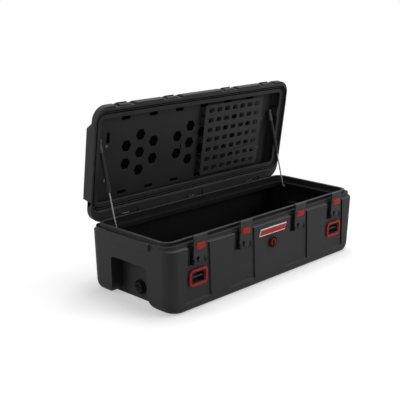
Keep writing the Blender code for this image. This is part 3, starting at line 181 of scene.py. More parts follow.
world = bpy.data.worlds.new("studio")
bpy.context.scene.world = world
world.use_nodes = True
nodes, links = world.node_tree.nodes, world.node_tree.links
nodes.clear()
sky = nodes.new("ShaderNodeBackground")
sky.inputs["Color"].default_value = WORLD_COLOUR
strength = nodes.new("ShaderNodeMapRange")
strength.inputs["To Min"].default_value = WORLD_LIGHT
strength.inputs["To Max"].default_value = 1.0
links.new(seen_rays(nodes, links), strength.inputs["Value"])
links.new(strength.outputs[0], sky.inputs["Strength"])
output = nodes.new("ShaderNodeOutputWorld")
links.new(sky.outputs[0], output.inputs["Surface"])


def soft_lamp(name, place, size, watts):
    """A large square lamp that looks at the case."""
    lamp = bpy.data.lights.new(name, "AREA")
    lamp.shape = "SQUARE"
    lamp.size = size
    lamp.energy = watts
    holder = bpy.data.objects.new(name, lamp)
    holder.location = place
    holder.rotation_euler = (LAMP_AIM - Vector(place)).to_track_quat("-Z", "Y").to_euler()
    bpy.context.scene.collection.objects.link(holder)


soft_lamp("top_lamp", *TOP_LAMP)
soft_lamp("front_lamp", *FRONT_LAMP)
soft_lamp("side_lamp", *SIDE_LAMP)
bpy.context.scene.view_settings.view_transform = "Standard"
print("lamps:", TOP_LAMP[2], FRONT_LAMP[2], SIDE_LAMP[2], "watts")

# %% [markdown]
# Shader groups and Geometry Nodes trees are both node groups, and both need named sockets, nodes and
# links. One small helper builds either kind, so the later cells only say what is joined to what.

# %% A helper for node groups
SOCKETS = {bool: "NodeSocketBool", int: "NodeSocketInt", float: "NodeSocketFloat"}


class Graph:
    """A node group with named inputs and outputs. A text value names a type that has no default."""

    def __init__(self, name, kind, inputs, outputs):
        self.tree = bpy.data.node_groups.new(name, kind)
        for title, value in inputs.items():
            self.socket(title, "INPUT", value)
        for title, value in outputs.items():
            self.socket(title, "OUTPUT", value)
        self.given = self.add("NodeGroupInput").outputs
        self.result = self.add("NodeGroupOutput").inputs

    def socket(self, title, side, value):
        """Add one input or output to the group."""
        kind = f"NodeSocket{value}" if isinstance(value, str) else SOCKETS[type(value)]
        made = self.tree.interface.new_socket(name=title, in_out=side, socket_type=kind)
        if not isinstance(value, str) and side == "INPUT":
            made.default_value = value

    def add(self, kind, **settings):
        """A new node, with its settings by name."""
        node = self.tree.nodes.new(kind)
        for key, value in settings.items():
            setattr(node, key, value)
        return node

    def join(self, start, end):
        self.tree.links.new(start, end)

    def fill(self, node, **values):
        """Feed a node's inputs by name. A value is a socket or a constant."""
        for title, value in values.items():
            socket = node.inputs[title.replace("_", " ")]
            if isinstance(value, bpy.types.NodeSocket):
                self.join(value, socket)
            else:
                socket.default_value = value
        return node.outputs[0]

    def math(self, operation, first, second):
        """The result of a Math node."""
        return calculated(self.tree.nodes, self.tree.links, operation, first, second)

    def ramp(self, value, low, high):
        """A smooth rise from 0 to 1 while the value goes from low to high."""
        node = self.add("ShaderNodeMapRange", interpolation_type="SMOOTHSTEP")
        return self.fill(node, Value=value, From_Min=low, From_Max=high)

    def noise(self, scale, vector, detail):
        """Cloudy noise at a place. A larger scale is finer."""
        node = self.add("ShaderNodeTexNoise")
        return self.fill(node, Scale=scale, Vector=vector, Detail=detail)


print("sockets for", len(SOCKETS), "kinds of number")

# %% [markdown]
# Moulded plastic is never one flat tone. Three effects are shared by most of the finishes here, so each
# is a shader node group: a pebbled grain from the mould, wear along rounded edges that also paints their
# highlight, and the fine straight lines that drawing and handling leave on metal. A group puts out masks
# and values only, and each material mixes them into its own shader.

# %% Shader group for the mould's grain
SPECKLE_SHARE = 0.25
SPECKLE_RELIEF = 0.6
SPECKLE_FINENESS = 2.0
SPECKLE_DETAIL = 3.0
PATCH_DETAIL = 4.0
PATCH_RAMP = (0.3, 0.7)

grain = Graph(
    "mould_grain",
    "ShaderNodeTree",
    {"Pebble Size": 0.001, "Patch Size": 0.14},
    {"Height": 0.0, "Tone": 0.0},
)
place = grain.add("ShaderNodeTexCoord").outputs["Object"]
pebble_scale = grain.math("DIVIDE", 1.0, grain.given["Pebble Size"])
patch_scale = grain.math("DIVIDE", 1.0, grain.given["Patch Size"])
cells = grain.add("ShaderNodeTexVoronoi", feature="SMOOTH_F1")
pebbles = grain.fill(cells, Vector=place, Scale=pebble_scale)
speckle_scale = grain.math("MULTIPLY", pebble_scale, SPECKLE_FINENESS)
speckle = grain.noise(speckle_scale, place, SPECKLE_DETAIL)
rough_speckle = grain.math("MULTIPLY", speckle, SPECKLE_RELIEF)
grain.join(grain.math("ADD", pebbles, rough_speckle), grain.result["Height"])
patches = grain.ramp(grain.noise(patch_scale, place, PATCH_DETAIL), *PATCH_RAMP)
patch_part = grain.math("MULTIPLY", patches, 1.0 - SPECKLE_SHARE)
speckle_part = grain.math("MULTIPLY", speckle, SPECKLE_SHARE)
grain.join(grain.math("ADD", patch_part, speckle_part), grain.result["Tone"])
print("shader group:", grain.tree.name)

# %% [markdown]
# Edges that are handled wear paler, and the same paler tone paints the highlight that a rounded edge
# catches. A material can't feel an edge cheaply, so the mesh says where its roundings are, and the group
# breaks that mark up with noise. The lines on metal are noise too, stretched far along one direction, as
# a drawing die or a cloth leaves them.

# %% Shader groups for edge wear with painted highlight, and drawn lines
BREAK_DETAIL = 5.0
BREAK_RAMP = (0.35, 0.65)
STREAK_DETAIL = 3.0
STREAK_RAMP = (0.42, 0.62)

edges = Graph("rubbed_edges", "ShaderNodeTree", {"Break Size": 0.02}, {"Mask": 0.0})
place = edges.add("ShaderNodeTexCoord").outputs["Object"]
edge_wear_and_highlight = edges.add("ShaderNodeAttribute", attribute_name="rounded_edge").outputs["Fac"]
break_scale = edges.math("DIVIDE", 1.0, edges.given["Break Size"])
broken = edges.ramp(edges.noise(break_scale, place, BREAK_DETAIL), *BREAK_RAMP)
edges.join(edges.math("MULTIPLY", edge_wear_and_highlight, broken), edges.result["Mask"])

lines = Graph(
    "drawn_lines", "ShaderNodeTree", {"Line Size": 0.0012, "Stretch": 40.0}, {"Mask": 0.0}
)
split = lines.add("ShaderNodeSeparateXYZ")
lines.join(lines.add("ShaderNodeTexCoord").outputs["Object"], split.inputs[0])
across = lines.math("DIVIDE", 1.0, lines.given["Line Size"])
along = lines.math("DIVIDE", across, lines.given["Stretch"])
stretched = lines.add("ShaderNodeCombineXYZ")
for axis, scale in enumerate((across, across, along)):
    lines.join(lines.math("MULTIPLY", split.outputs[axis], scale), stretched.inputs[axis])
streaks = lines.noise(1.0, stretched.outputs[0], STREAK_DETAIL)
lines.join(lines.ramp(streaks, *STREAK_RAMP), lines.result["Mask"])
print("shader groups:", edges.tree.name, lines.tree.name)

# %% [markdown]
# Each finish on the case is one material with its own Principled shader. Plastic differs by pebble
# size, tone and gloss; metal by its lines. Numbers that are the same all over a surface sit on the
# shader's own sockets. Only what changes over the surface goes through the groups.

# %% How a finish is made
PATCH_SIZE = 0.14
PLASTIC_SPECULAR = 0.14
METAL_SPECULAR = 0.5
PEBBLE_RELIEF = 0.25
LINE_STRENGTH = 0.08
LINE_DEPTH = 0.0001


def mixed(nodes, links, factor, first, second):
    """A colour between two, as a socket. Each colour is three numbers or a socket."""
    mix = nodes.new("ShaderNodeMix")
    mix.data_type = "RGBA"
    colour_sockets = [socket for socket in mix.inputs if socket.type == "RGBA"]
    for socket, colour in zip(colour_sockets, (first, second)):
        if isinstance(colour, tuple):
            socket.default_value = (*colour, 1.0)
        else:
            links.new(colour, socket)
    links.new(factor, mix.inputs["Factor"])
    return next(socket for socket in mix.outputs if socket.type == "RGBA")


def placed_group(nodes, group, **values):
    """A group node in a material, with its inputs set by name."""
    node = nodes.new("ShaderNodeGroup")
    node.node_tree = group.tree
    for title, value in values.items():
        node.inputs[title.replace("_", " ")].default_value = value
    return node


def spread(nodes, links, value, low, high):
    """A value from 0 to 1 brought to another range."""
    node = nodes.new("ShaderNodeMapRange")
    node.inputs["To Min"].default_value = low
    node.inputs["To Max"].default_value = high
    links.new(value, node.inputs["Value"])
    return node.outputs[0]


def relief(nodes, links, height, strength, depth):
    """A bump from a height, as a normal."""
    bump = nodes.new("ShaderNodeBump")
    bump.inputs["Strength"].default_value = strength
    bump.inputs["Distance"].default_value = depth
    links.new(height, bump.inputs["Height"])
    return bump.outputs[0]


def face_mark(nodes, title):
    """The share that a mesh carries on its faces under a title."""
    mark = nodes.new("ShaderNodeAttribute")
    mark.attribute_name = title
    return mark.outputs["Fac"]


def plastic(
    name,
    dark,
    light,
    edge,
    gloss,
    pebble,
    bump,
    patch=PATCH_SIZE,
    specular=PLASTIC_SPECULAR,
    inside_painted_shade=None,
):
    """Moulded plastic: two tones, a paler edge that paints wear and highlight, and painted inner shade.
    """
    material, nodes, links, output = new_material(name)
    shader = nodes.new("ShaderNodeBsdfPrincipled")
    shader.inputs["Specular IOR Level"].default_value = specular
    links.new(shader.outputs[0], output.inputs["Surface"])
    moulded = placed_group(nodes, grain, Pebble_Size=pebble, Patch_Size=patch)
    wear_and_highlight = placed_group(nodes, edges)
    body = mixed(nodes, links, moulded.outputs["Tone"], dark, light)
    colour = mixed(nodes, links, wear_and_highlight.outputs["Mask"], body, edge)
    # faces marked for the tub's inside take the painted shade colour
    if inside_painted_shade:
        colour = mixed(nodes, links, face_mark(nodes, "inner_face"), colour, inside_painted_shade)
    links.new(colour, shader.inputs["Base Color"])
    links.new(spread(nodes, links, moulded.outputs["Tone"], *gloss), shader.inputs["Roughness"])
    normal = relief(nodes, links, moulded.outputs["Height"], bump, pebble * PEBBLE_RELIEF)
    links.new(normal, shader.inputs["Normal"])
    return material


def metal(name, dark, light, gloss, line, metallic, specular=METAL_SPECULAR, bare=None):
    """Metal or coated metal: fine lines change its tone and gloss, and marked faces are left bare."""
    material, nodes, links, output = new_material(name)
    shader = nodes.new("ShaderNodeBsdfPrincipled")
    shader.inputs["Metallic"].default_value = metallic
    shader.inputs["Specular IOR Level"].default_value = specular
    links.new(shader.outputs[0], output.inputs["Surface"])
    drawn = placed_group(nodes, lines, Line_Size=line)
    colour = mixed(nodes, links, drawn.outputs["Mask"], dark, light)
    if bare:
        colour = mixed(nodes, links, face_mark(nodes, "bare_end"), colour, bare)
    links.new(colour, shader.inputs["Base Color"])
    links.new(spread(nodes, links, drawn.outputs["Mask"], *gloss), shader.inputs["Roughness"])
    normal = relief(nodes, links, drawn.outputs["Mask"], LINE_STRENGTH, LINE_DEPTH)
    links.new(normal, shader.inputs["Normal"])
    return material


print("finishes are plastic or metal")

# %% [markdown]
# The shell is a satin black with a coarse pebble, and its inside is given a darker tone as painted
# shade. The panels in the lid are smoother, the fittings smoother still, and the slot panel has the
# panels' plastic with painted light on it, a little lighter. Red parts keep a clear colour with a slight
# sheen, and the seals are dull rubber, made near-black in part as painted shade. The near-black finish
# behind the hexagon panel and in the lever locks is painted shade, and the black latch brackets paint
# the shade beside the levers. Each could be built by hand in the node editor, but as rows of a table two
# finishes are easy to compare.

# %% Plastic and rubber finishes
# In each plastic, edge is the paler tone on rounded edges: wear, and a painted highlight too.
PLASTICS = {
    "shell_plastic": dict(
        dark=(0.0240, 0.0240, 0.0245),
        light=(0.0310, 0.0310, 0.0318),
        edge=(0.0480, 0.0480, 0.0490),
        gloss=(0.52, 0.64),
        pebble=0.0011,
        bump=0.35,
        # painted shade for the tub's inside, its upper end walls and the far walls of the hand pockets
        inside_painted_shade=(0.0020, 0.0020, 0.0021),
    ),
    "panel_plastic": dict(
        dark=(0.0190, 0.0190, 0.0195),
        light=(0.0260, 0.0260, 0.0266),
        edge=(0.0400, 0.0400, 0.0410),
        gloss=(0.46, 0.56),
        pebble=0.0007,
        bump=0.25,
    ),
    "fitting_plastic": dict(
        dark=(0.0250, 0.0250, 0.0255),
        light=(0.0310, 0.0310, 0.0318),
        edge=(0.0520, 0.0520, 0.0530),
        gloss=(0.44, 0.54),
        pebble=0.0006,
        bump=0.20,
    ),
    "red_plastic": dict(
        dark=(0.32, 0.0070, 0.0085),
        light=(0.40, 0.0110, 0.0120),
        edge=(0.46, 0.0220, 0.0220),
        gloss=(0.36, 0.46),
        pebble=0.0006,
        bump=0.15,
        patch=0.03,
    ),
    "deep_red": dict(
        dark=(0.085, 0.0040, 0.0060),
        light=(0.115, 0.0060, 0.0080),
        edge=(0.200, 0.0110, 0.0130),
        gloss=(0.36, 0.46),
        pebble=0.0006,
        bump=0.15,
        patch=0.03,
    ),
    "badge_red": dict(
        dark=(0.38, 0.0140, 0.0150),
        light=(0.46, 0.0190, 0.0200),
        edge=(0.52, 0.0300, 0.0300),
        gloss=(0.30, 0.40),
        pebble=0.0004,
        bump=0.08,
        patch=0.03,
    ),
    # black plastic of the drain and the valve's grip, and painted shade on the latch brackets
    "black_plastic": dict(
        dark=(0.0060, 0.0060, 0.0062),
        light=(0.0100, 0.0100, 0.0103),
        edge=(0.0200, 0.0200, 0.0204),
        gloss=(0.44, 0.54),
        pebble=0.0006,
        bump=0.20,
        specular=0.06,
    ),
    "pale_plastic": dict(
        dark=(0.66, 0.66, 0.65),
        light=(0.78, 0.78, 0.77),
        edge=(0.82, 0.82, 0.81),
        gloss=(0.34, 0.44),
        pebble=0.0005,
        bump=0.10,
        patch=0.03,
    ),
    # black rubber made near-black: painted shade in the groove beside the lid seal's bead
    "seal_rubber": dict(
        dark=(0.0020, 0.0020, 0.0020),
        light=(0.0036, 0.0036, 0.0036),
        edge=(0.0050, 0.0050, 0.0050),
        gloss=(0.60, 0.72),
        pebble=0.0005,
        bump=0.20,
        specular=0.03,
    ),
    "grey_rubber": dict(
        dark=(0.0240, 0.0240, 0.0245),
        light=(0.0310, 0.0310, 0.0318),
        edge=(0.0400, 0.0400, 0.0410),
        gloss=(0.56, 0.68),
        pebble=0.0005,
        bump=0.20,
    ),
    # painted shade: the near-black of the sheet behind the hexagon panel and of the lever locks
    "dark_foam": dict(
        dark=(0.0010, 0.0010, 0.0010),
        light=(0.0020, 0.0020, 0.0020),
        edge=(0.0020, 0.0020, 0.0020),
        gloss=(0.88, 0.96),
        pebble=0.0012,
        bump=0.60,
        specular=0.02,
    ),
    # the panel plastic made lighter: painted light on the slot panel
    "bright_panel": dict(
        dark=(0.0260, 0.0260, 0.0266),
        light=(0.0330, 0.0330, 0.0338),
        edge=(0.0520, 0.0520, 0.0530),
        gloss=(0.46, 0.56),
        pebble=0.0007,
        bump=0.25,
    ),
}
FINISH = {name: plastic(name, **look) for name, look in PLASTICS.items()}
print("plastics:", ", ".join(PLASTICS))

# %% [markdown]
# The metal of the case is mostly painted or coated black. Bare metal shows on the strut rods, on the
# upper end of each strut's tube, on the pins and springs of the latches, and on the rivets and the panel
# screws in the lid. Some finishes are variants of another one, and SLOT_OF lists the finish whose slot
# in the record each of them belongs to.

# %% Metal finishes
METALS = {
    "black_metal": dict(
        dark=(0.0045, 0.0045, 0.0047),
        light=(0.0090, 0.0090, 0.0094),
        gloss=(0.38, 0.50),
        line=0.0010,
        metallic=0.0,
        specular=0.04,
    ),
    "painted_metal": dict(
        dark=(0.0240, 0.0240, 0.0245),
        light=(0.0300, 0.0300, 0.0306),
        gloss=(0.50, 0.62),
        line=0.0010,
        metallic=0.0,
        specular=0.10,
        bare=(0.100, 0.100, 0.101),
    ),
    "dull_metal": dict(
        dark=(0.0500, 0.0500, 0.0505),
        light=(0.0800, 0.0800, 0.0805),
        gloss=(0.40, 0.52),
        line=0.0008,
        metallic=0.5,
        specular=0.3,
    ),
    "dull_steel": dict(
        dark=(0.120, 0.120, 0.121),
        light=(0.160, 0.160, 0.161),
        gloss=(0.44, 0.56),
        line=0.0008,
        metallic=0.4,
        specular=0.2,
    ),
    "steel": dict(
        dark=(0.150, 0.150, 0.154),
        light=(0.210, 0.210, 0.214),
        gloss=(0.26, 0.38),
        line=0.0006,
        metallic=1.0,
    ),
}
FINISH.update({name: metal(name, **look) for name, look in METALS.items()})
SLOT_OF = {
    "dark_foam": "seal_rubber",
    "grey_rubber": "seal_rubber",
    "bright_panel": "panel_plastic",
    "deep_red": "red_plastic",
    "badge_red": "red_plastic",
    "black_plastic": "fitting_plastic",
    "painted_metal": "black_metal",
    "dull_metal": "black_metal",
    "dull_steel": "steel",
}
print("metals:", ", ".join(METALS), "with", len(SLOT_OF), "variants in all")

# %% [markdown]
# A finish can change over one piece, if the mesh says where. The inside of the moulded tub is given
# painted shade, darker than the outside, with less of it on the upper part of the end walls and some on
# the far wall of each hand pocket, and the upper end of a strut's tube is bare metal. Vertex groups
# could hold this, but they bleed across edges. A number on every face corner stops at the edge, and the
# materials read it by its name.

# %% Marks on faces
TUB_HALF = Vector((0.520, 0.195))
WALL_HALF = Vector((0.546, 0.2145))
LOOKS_IN = 0.5
TUB_FLOOR = 0.003
TUB_RIM = 0.2590
HAND_FLOOR = 0.479
HAND_HALF = 0.150
HAND_TOP = 0.162
HAND_SHADE = 0.55
SHELF_LEVEL = 0.2345
END_WALL_SHADE = 0.20
BARE_REACH = 0.050


def joint_named(name):
    """A joint's row in the record."""
    return next(joint for joint in frame["joints"] if joint["name"] == name)


def mark_faces(work, title, share):
    """Stores a share from 0 to 1 on every face, under a title that a finish can read."""
    layer = work.loops.layers.float.new(title)
    for face in work.faces:
        for loop in face.loops:
            loop[layer] = share(face)


def inner_share(face):
    """The painted shade on a base face: 1 in the tub, less high on its end walls and in hand pockets."""
    spot = face.calc_center_median()
    inward = Vector((math.copysign(1.0, -spot.x), math.copysign(1.0, -spot.y)))
    looks_in = max(face.normal.x * inward.x, face.normal.y * inward.y) > LOOKS_IN
    limit = WALL_HALF if looks_in else TUB_HALF
    inside_painted_shade = abs(spot.x) < limit.x and abs(spot.y) < limit.y and TUB_FLOOR < spot.z < TUB_RIM
    in_hand_pocket = abs(spot.x) > HAND_FLOOR and abs(spot.y) < HAND_HALF and spot.z < HAND_TOP
    if in_hand_pocket:
        return HAND_SHADE if face.normal.y < -LOOKS_IN else 0.0
    if inside_painted_shade and spot.z > SHELF_LEVEL and abs(face.normal.x) > LOOKS_IN:
        return END_WALL_SHADE
    return float(inside_painted_shade)


def mark_bare_end(work, node):
    """Cuts a ring of edges round a strut's tube, and marks the end above it."""
    side = node.split("_")[-1]
    axis = Vector(joint_named(f"strut_{side}_slide")["axis"]).normalized()
    if axis.z < 0:
        axis.negate()
    end = max(vertex.co.dot(axis) for vertex in work.verts) - BARE_REACH
    parts = [*work.verts, *work.edges, *work.faces]
    bmesh.ops.bisect_plane(work, geom=parts, plane_co=axis * end, plane_no=axis)
    # The cut lists the faces in a new order on every run, so they are sorted by their corners
    work.verts.index_update()
    in_order = sorted(work.faces, key=lambda face: sorted(vertex.index for vertex in face.verts))
    for number, face in enumerate(in_order):
        face.index = number
    work.faces.sort()
    mark_faces(work, "bare_end", lambda face: float(face.calc_center_median().dot(axis) > end))


print("tub inside from", TUB_FLOOR, "to", TUB_RIM, "m, bare tube ends of", BARE_REACH, "m")

# %% [markdown]
# The solids of the frame have knife-sharp edges, which no moulding has. A Bevel modifier could round
# them, but it would not tell the material where the roundings are. So each solid is copied, its loose
# triangles are merged into whole faces, its hard edges are rounded in mesh code, and the new narrow
# faces are marked for the group that paints edge wear and highlight. Weighted normals then keep the
# flat faces flat.

# %% Rounded copies of the solids
MERGE_DISTANCE = 0.000002
FLAT_ANGLE = math.radians(0.4)
HARD_ANGLE = math.radians(24)
SHARP_ANGLE = math.radians(40)
ROUND_PROFILE = 0.5
FLAT_WEIGHT = 80


def softened(node, width, segments):
    """A copy of a CAD solid with its hard edges rounded, as a plain mesh object."""
    work = bmesh.new()
    work.from_mesh(frame["nodes"][node].data)
    bmesh.ops.remove_doubles(work, verts=work.verts, dist=MERGE_DISTANCE)
    bmesh.ops.dissolve_limit(work, angle_limit=FLAT_ANGLE, verts=work.verts, edges=work.edges)
    hard = [
        edge
        for edge in work.edges
        if len(edge.link_faces) == 2 and edge.calc_face_angle() > HARD_ANGLE
    ]
    made = bmesh.ops.bevel(
        work,
        geom=hard,
        offset=width,
        offset_type="OFFSET",
        segments=segments,
        profile=ROUND_PROFILE,
        affect="EDGES",
        clamp_overlap=False,
        miter_outer="SHARP",
        miter_inner="SHARP",
    )
    rounded = set(made["faces"])
    mark_faces(work, "rounded_edge", lambda face: float(face in rounded))
    if node == "base_shell":
        mark_faces(work, "inner_face", inner_share)
    if node.startswith("strut_cylinder"):
        mark_bare_end(work, node)
    mesh = bpy.data.meshes.new(node + "_soft")
    work.to_mesh(mesh)
    work.free()
    for face in mesh.polygons:
        face.use_smooth = True
    mesh.set_sharp_from_angle(angle=SHARP_ANGLE)
    return bpy.data.objects.new(node + "_moulding", mesh)


def baked(piece):
    """The piece with its modifiers turned into plain mesh."""
    bpy.context.view_layer.update()
    shown = piece.evaluated_get(bpy.context.evaluated_depsgraph_get())
    mesh = bpy.data.meshes.new_from_object(shown)
    piece.modifiers.clear()
    old = piece.data
    piece.data = mesh
    bpy.data.meshes.remove(old)
    return piece


def with_flat_faces(piece):
    """The piece with weighted normals baked in."""
    bpy.context.scene.collection.objects.link(piece)
    weight = piece.modifiers.new("flat_faces", "WEIGHTED_NORMAL")
    weight.keep_sharp = True
    weight.weight = FLAT_WEIGHT
    return baked(piece)


print("edges over", round(math.degrees(HARD_ANGLE)), "degrees are rounded")

# %% [markdown]
# The large mouldings and the parts of badge, valve and drain come first. Each takes its name and its
# body from its solid. The rounding is wide on the big shells and fine on small parts, as their moulds
# have it.

# %% Large mouldings


def dress(piece, finish, body, *nodes):
    """Gives a piece its finish and its body. It stands for the CAD nodes that are named."""
    piece.data.materials.clear()
    piece.data.materials.append(FINISH[finish])
    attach(piece, body)
    if nodes:
        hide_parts(*nodes)
    return piece


def dress_soft(node, finish, width, segments):
    """The rounded copy of a solid, dressed in its place."""
    piece = with_flat_faces(softened(node, width, segments))
    return dress(piece, finish, frame["nodes"][node]["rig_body"], node)


MOULDINGS = (
    ("base_shell", "shell_plastic", 0.0012, 3),
    ("lid_shell", "shell_plastic", 0.0012, 3),
    ("hex_panel", "panel_plastic", 0.0008, 2),
    ("slot_panel", "bright_panel", 0.0008, 2),
    ("badge_backing", "pale_plastic", 0.0005, 2),
    ("badge_face", "badge_red", 0.0003, 2),
    ("valve_body", "deep_red", 0.0008, 2),
    ("drain_seat", "black_plastic", 0.0008, 2),
    ("drain_plug", "black_plastic", 0.0008, 2),
)
for node, finish, width, segments in MOULDINGS:
    piece = dress_soft(node, finish, width, segments)
    print(piece.name, len(piece.data.polygons), "faces")

# %% [markdown]
# The latches, tie-down points, hinges and struts come in sets. One member of a set could be made and
# then copied, but the members of the real case differ in place and body, so every solid goes through
# the same rounding, with a size that suits its kind.

# %% Fittings that come in sets
LATCH_NUMBERS = (1, 2, 3, 4)
SIDES = ("left", "right")
HINGES = ("left", "middle", "right")
SETS = (
    ("latch_lever_{}", LATCH_NUMBERS, "fitting_plastic", 0.0010, 3),
    ("latch_button_{}", LATCH_NUMBERS, "red_plastic", 0.0034, 5),
    # the brackets are made black as painted shade, for the dark gap beside each lever
    ("latch_bracket_{}", LATCH_NUMBERS, "black_plastic", 0.0004, 2),
    ("tiedown_cup_{}", SIDES, "fitting_plastic", 0.0006, 2),
    ("hinge_base_leaf_{}", HINGES, "painted_metal", 0.0005, 2),
    ("hinge_lid_leaf_{}", HINGES, "painted_metal", 0.0005, 2),
    ("strut_cylinder_{}", SIDES, "painted_metal", 0.0008, 2),
    ("strut_rod_{}", SIDES, "steel", 0.0005, 2),
    ("strut_base_bracket_{}", SIDES, "black_metal", 0.0004, 2),
    ("strut_lid_bracket_{}", SIDES, "dull_metal", 0.0004, 2),
)
for pattern, members, finish, width, segments in SETS:
    for member in members:
        piece = dress_soft(pattern.format(member), finish, width, segments)
    print(pattern.format("*"), len(members), "pieces,", len(piece.data.polygons), "faces each")

# %% [markdown]
# The lid is open in the frame, but its pieces are easier to place with the lid shut, where everything
# lies flat. The hinge in the record gives the turn from shut to open, so a lid piece is drawn shut and
# then turned with that one matrix.

# %% The lid, shut and open
lid_hinge = joint_named("lid_hinge")
HINGE_AXIS = Vector(lid_hinge["pos_m"])
OPEN_ANGLE = math.radians(max(lid_hinge["range_deg"]))
OPEN_TURN = (
    Matrix.Translation(HINGE_AXIS)
    @ Matrix.Rotation(-OPEN_ANGLE, 4, "X")
    @ Matrix.Translation(-HINGE_AXIS)
)
SHUT_TURN = OPEN_TURN.inverted()


def shut_box(node):
    """Lowest and highest corner of a lid solid with the lid shut."""
    points = [SHUT_TURN @ vertex.co for vertex in frame["nodes"][node].data.vertices]
    low = Vector(min(point[axis] for point in points) for axis in range(3))
    high = Vector(max(point[axis] for point in points) for axis in range(3))
    return low, high


print("lid opens by", round(math.degrees(OPEN_ANGLE), 1), "degrees")

# %% [markdown]
# A modifier made of geometry nodes needs an object to sit on and values for its inputs. This helper
# sets the inputs by the socket's identifier, lets Blender work the mesh out once, keeps the plain
# result and removes the modifier.

# %% A helper for geometry trees


def grown(name, start, graph, **values):
    """A plain mesh object from a geometry tree. The tree starts from a mesh and takes named values."""
    piece = bpy.data.objects.new(name, start)
    bpy.context.scene.collection.objects.link(piece)
    modifier = piece.modifiers.new(graph.tree.name, "NODES")
    modifier.node_group = graph.tree
    for item in graph.tree.interface.items_tree:
        title = item.name.replace(" ", "_")
        if item.in_out == "INPUT" and title in values:
            modifier[item.identifier] = values[title]
    baked(piece)
    piece.data.shade_smooth()
    piece.data.set_sharp_from_angle(angle=SHARP_ANGLE)
    return piece


print("geometry trees are grown into plain meshes")

# %% [markdown]
# Several pieces are one profile swept along a closed path: the seal of the lid, the red frames of the
# tie-down points, and the rings of the valve and the drain. That is what Curve to Mesh is for. The
# path is a rectangle with filleted corners, which becomes a circle when the fillet is half the side.
# The profile is a smaller rounded rectangle.

# %% Tree for swept strips
CORNER_POINTS = 10
ROUNDING_POINTS = 4

strip = Graph(
    "swept_strip",
    "GeometryNodeTree",
    {
        "Geometry": "Geometry",
        "Length": 1.0,
        "Width": 0.4,
        "Corner": 0.03,
        "Strip Width": 0.012,
        "Strip Height": 0.006,
        "Rounding": 0.002,
        "Finish": "Material",
    },
    {"Geometry": "Geometry"},
)


def rounded_rectangle(width, height, radius, points):
    """A rectangle curve with rounded corners."""
    rectangle = strip.add("GeometryNodeCurvePrimitiveQuadrilateral", mode="RECTANGLE")
    curve = strip.fill(rectangle, Width=width, Height=height)
    fillet = strip.add("GeometryNodeFilletCurve", mode="POLY")
    return strip.fill(fillet, Curve=curve, Radius=radius, Count=points)


path = rounded_rectangle(
    strip.given["Length"], strip.given["Width"], strip.given["Corner"], CORNER_POINTS
)
level_path = strip.fill(strip.add("GeometryNodeSetCurveNormal", mode="Z_UP"), Curve=path)
profile = rounded_rectangle(
    strip.given["Strip Width"],
    strip.given["Strip Height"],
    strip.given["Rounding"],
    ROUNDING_POINTS,
)
sweep = strip.add("GeometryNodeCurveToMesh")
swept = strip.fill(sweep, Curve=level_path, Profile_Curve=profile)
whole = strip.fill(strip.add("GeometryNodeRealizeInstances"), Geometry=swept)
finished = strip.add("GeometryNodeSetMaterial")
strip.join(strip.fill(finished, Geometry=whole, Material=strip.given["Finish"]), strip.result[0])


def swept_piece(name, finish, **sizes):
    """A piece from the strip tree, with the sizes that the tree takes by name."""
    return grown(name, bpy.data.meshes.new(name), strip, Finish=FINISH[finish], **sizes)


print("strip tree has", len(strip.tree.nodes), "nodes")

# %% [markdown]
# The seal follows the opening all round, pressed into a groove of the lid. It is drawn as two strips: a
# near-black one across the groove, whose tone is painted shade at both sides of the bead, and a grey
# bead along its middle in about the shell's tone, which meets the lip of the base. Both are drawn at the
# size of the solid with the lid shut, and turned open with the lid.

# %% Seal in the lid
SEAL_BAND = 0.012
SEAL_CORNER = 0.036
SEAL_SHRINK = 0.0002
SEAL_FOOT = 0.0022
SEAL_BEAD = 0.0040
SEAL_ROUNDING = 0.0008
BEAD_ROUNDING = 0.0016

seal_low, seal_high = shut_box("lid_gasket")
seal_size = seal_high - seal_low


def seal_part(name, band, height, rounding, level, finish, *nodes):
    """A strip in the seal's groove. Its middle lies at a level with the lid shut."""
    piece = swept_piece(
        name,
        finish,
        Length=seal_size.x - SEAL_BAND,
        Width=seal_size.y - SEAL_BAND,
        Corner=SEAL_CORNER,
        Strip_Width=band,
        Strip_Height=height,
        Rounding=rounding,
    )
    print(name, "before turning:", tuple(round(value, 4) for value in piece.dimensions))
    piece.data.transform(OPEN_TURN @ Matrix.Translation((0.0, 0.0, level)))
    dress(piece, finish, "lid", *nodes)


# the near-black strip: its tone is the painted shade in the groove
seal_part(
    "lid_seal",
    SEAL_BAND - SEAL_SHRINK,
    SEAL_FOOT,
    SEAL_ROUNDING,
    seal_high.z - SEAL_FOOT / 2,
    "seal_rubber",
    "lid_gasket",
)
bead_height = seal_size.z - SEAL_FOOT / 2
seal_part(
    "lid_seal_bead",
    SEAL_BEAD,
    bead_height,
    BEAD_ROUNDING,
    seal_low.z + bead_height / 2,
    "grey_rubber",
)

# %% [markdown]
# The purge valve has a dark red body with a brighter red ring on it, which is turned by a black grip
# across the ring. A rubber ring seals the body against the wall, and the drain has one too. A round
# piece could be a cylinder with a hole cut in it, but the swept strip already gives the rounded section
# that moulded rings have. A ring is given by its inner radius, its outer radius and its height.

# %% Rings of the valve and the drain
VALVE_SEAL = (0.0152, 0.0214, 0.0016)
VALVE_FACE = 0.0063
KNOB_RING = (0.0078, 0.0143, 0.0056)
KNOB_FACE = 0.0081
DRAIN_SEAL = (0.0204, 0.0264, 0.0016)
DRAIN_FACE = 0.0
RING_PROUD = 0.0006
RING_ROUNDING = 0.45
GRIP_ROUNDING = 0.0006
GRIP_SEGMENTS = 2


def facing(axis, place):
    """A matrix that turns Z to an axis and moves the origin to a place."""
    turn = Vector(axis).to_track_quat("Z", "Y").to_matrix().to_4x4()
    return Matrix.Translation(Vector(place)) @ turn


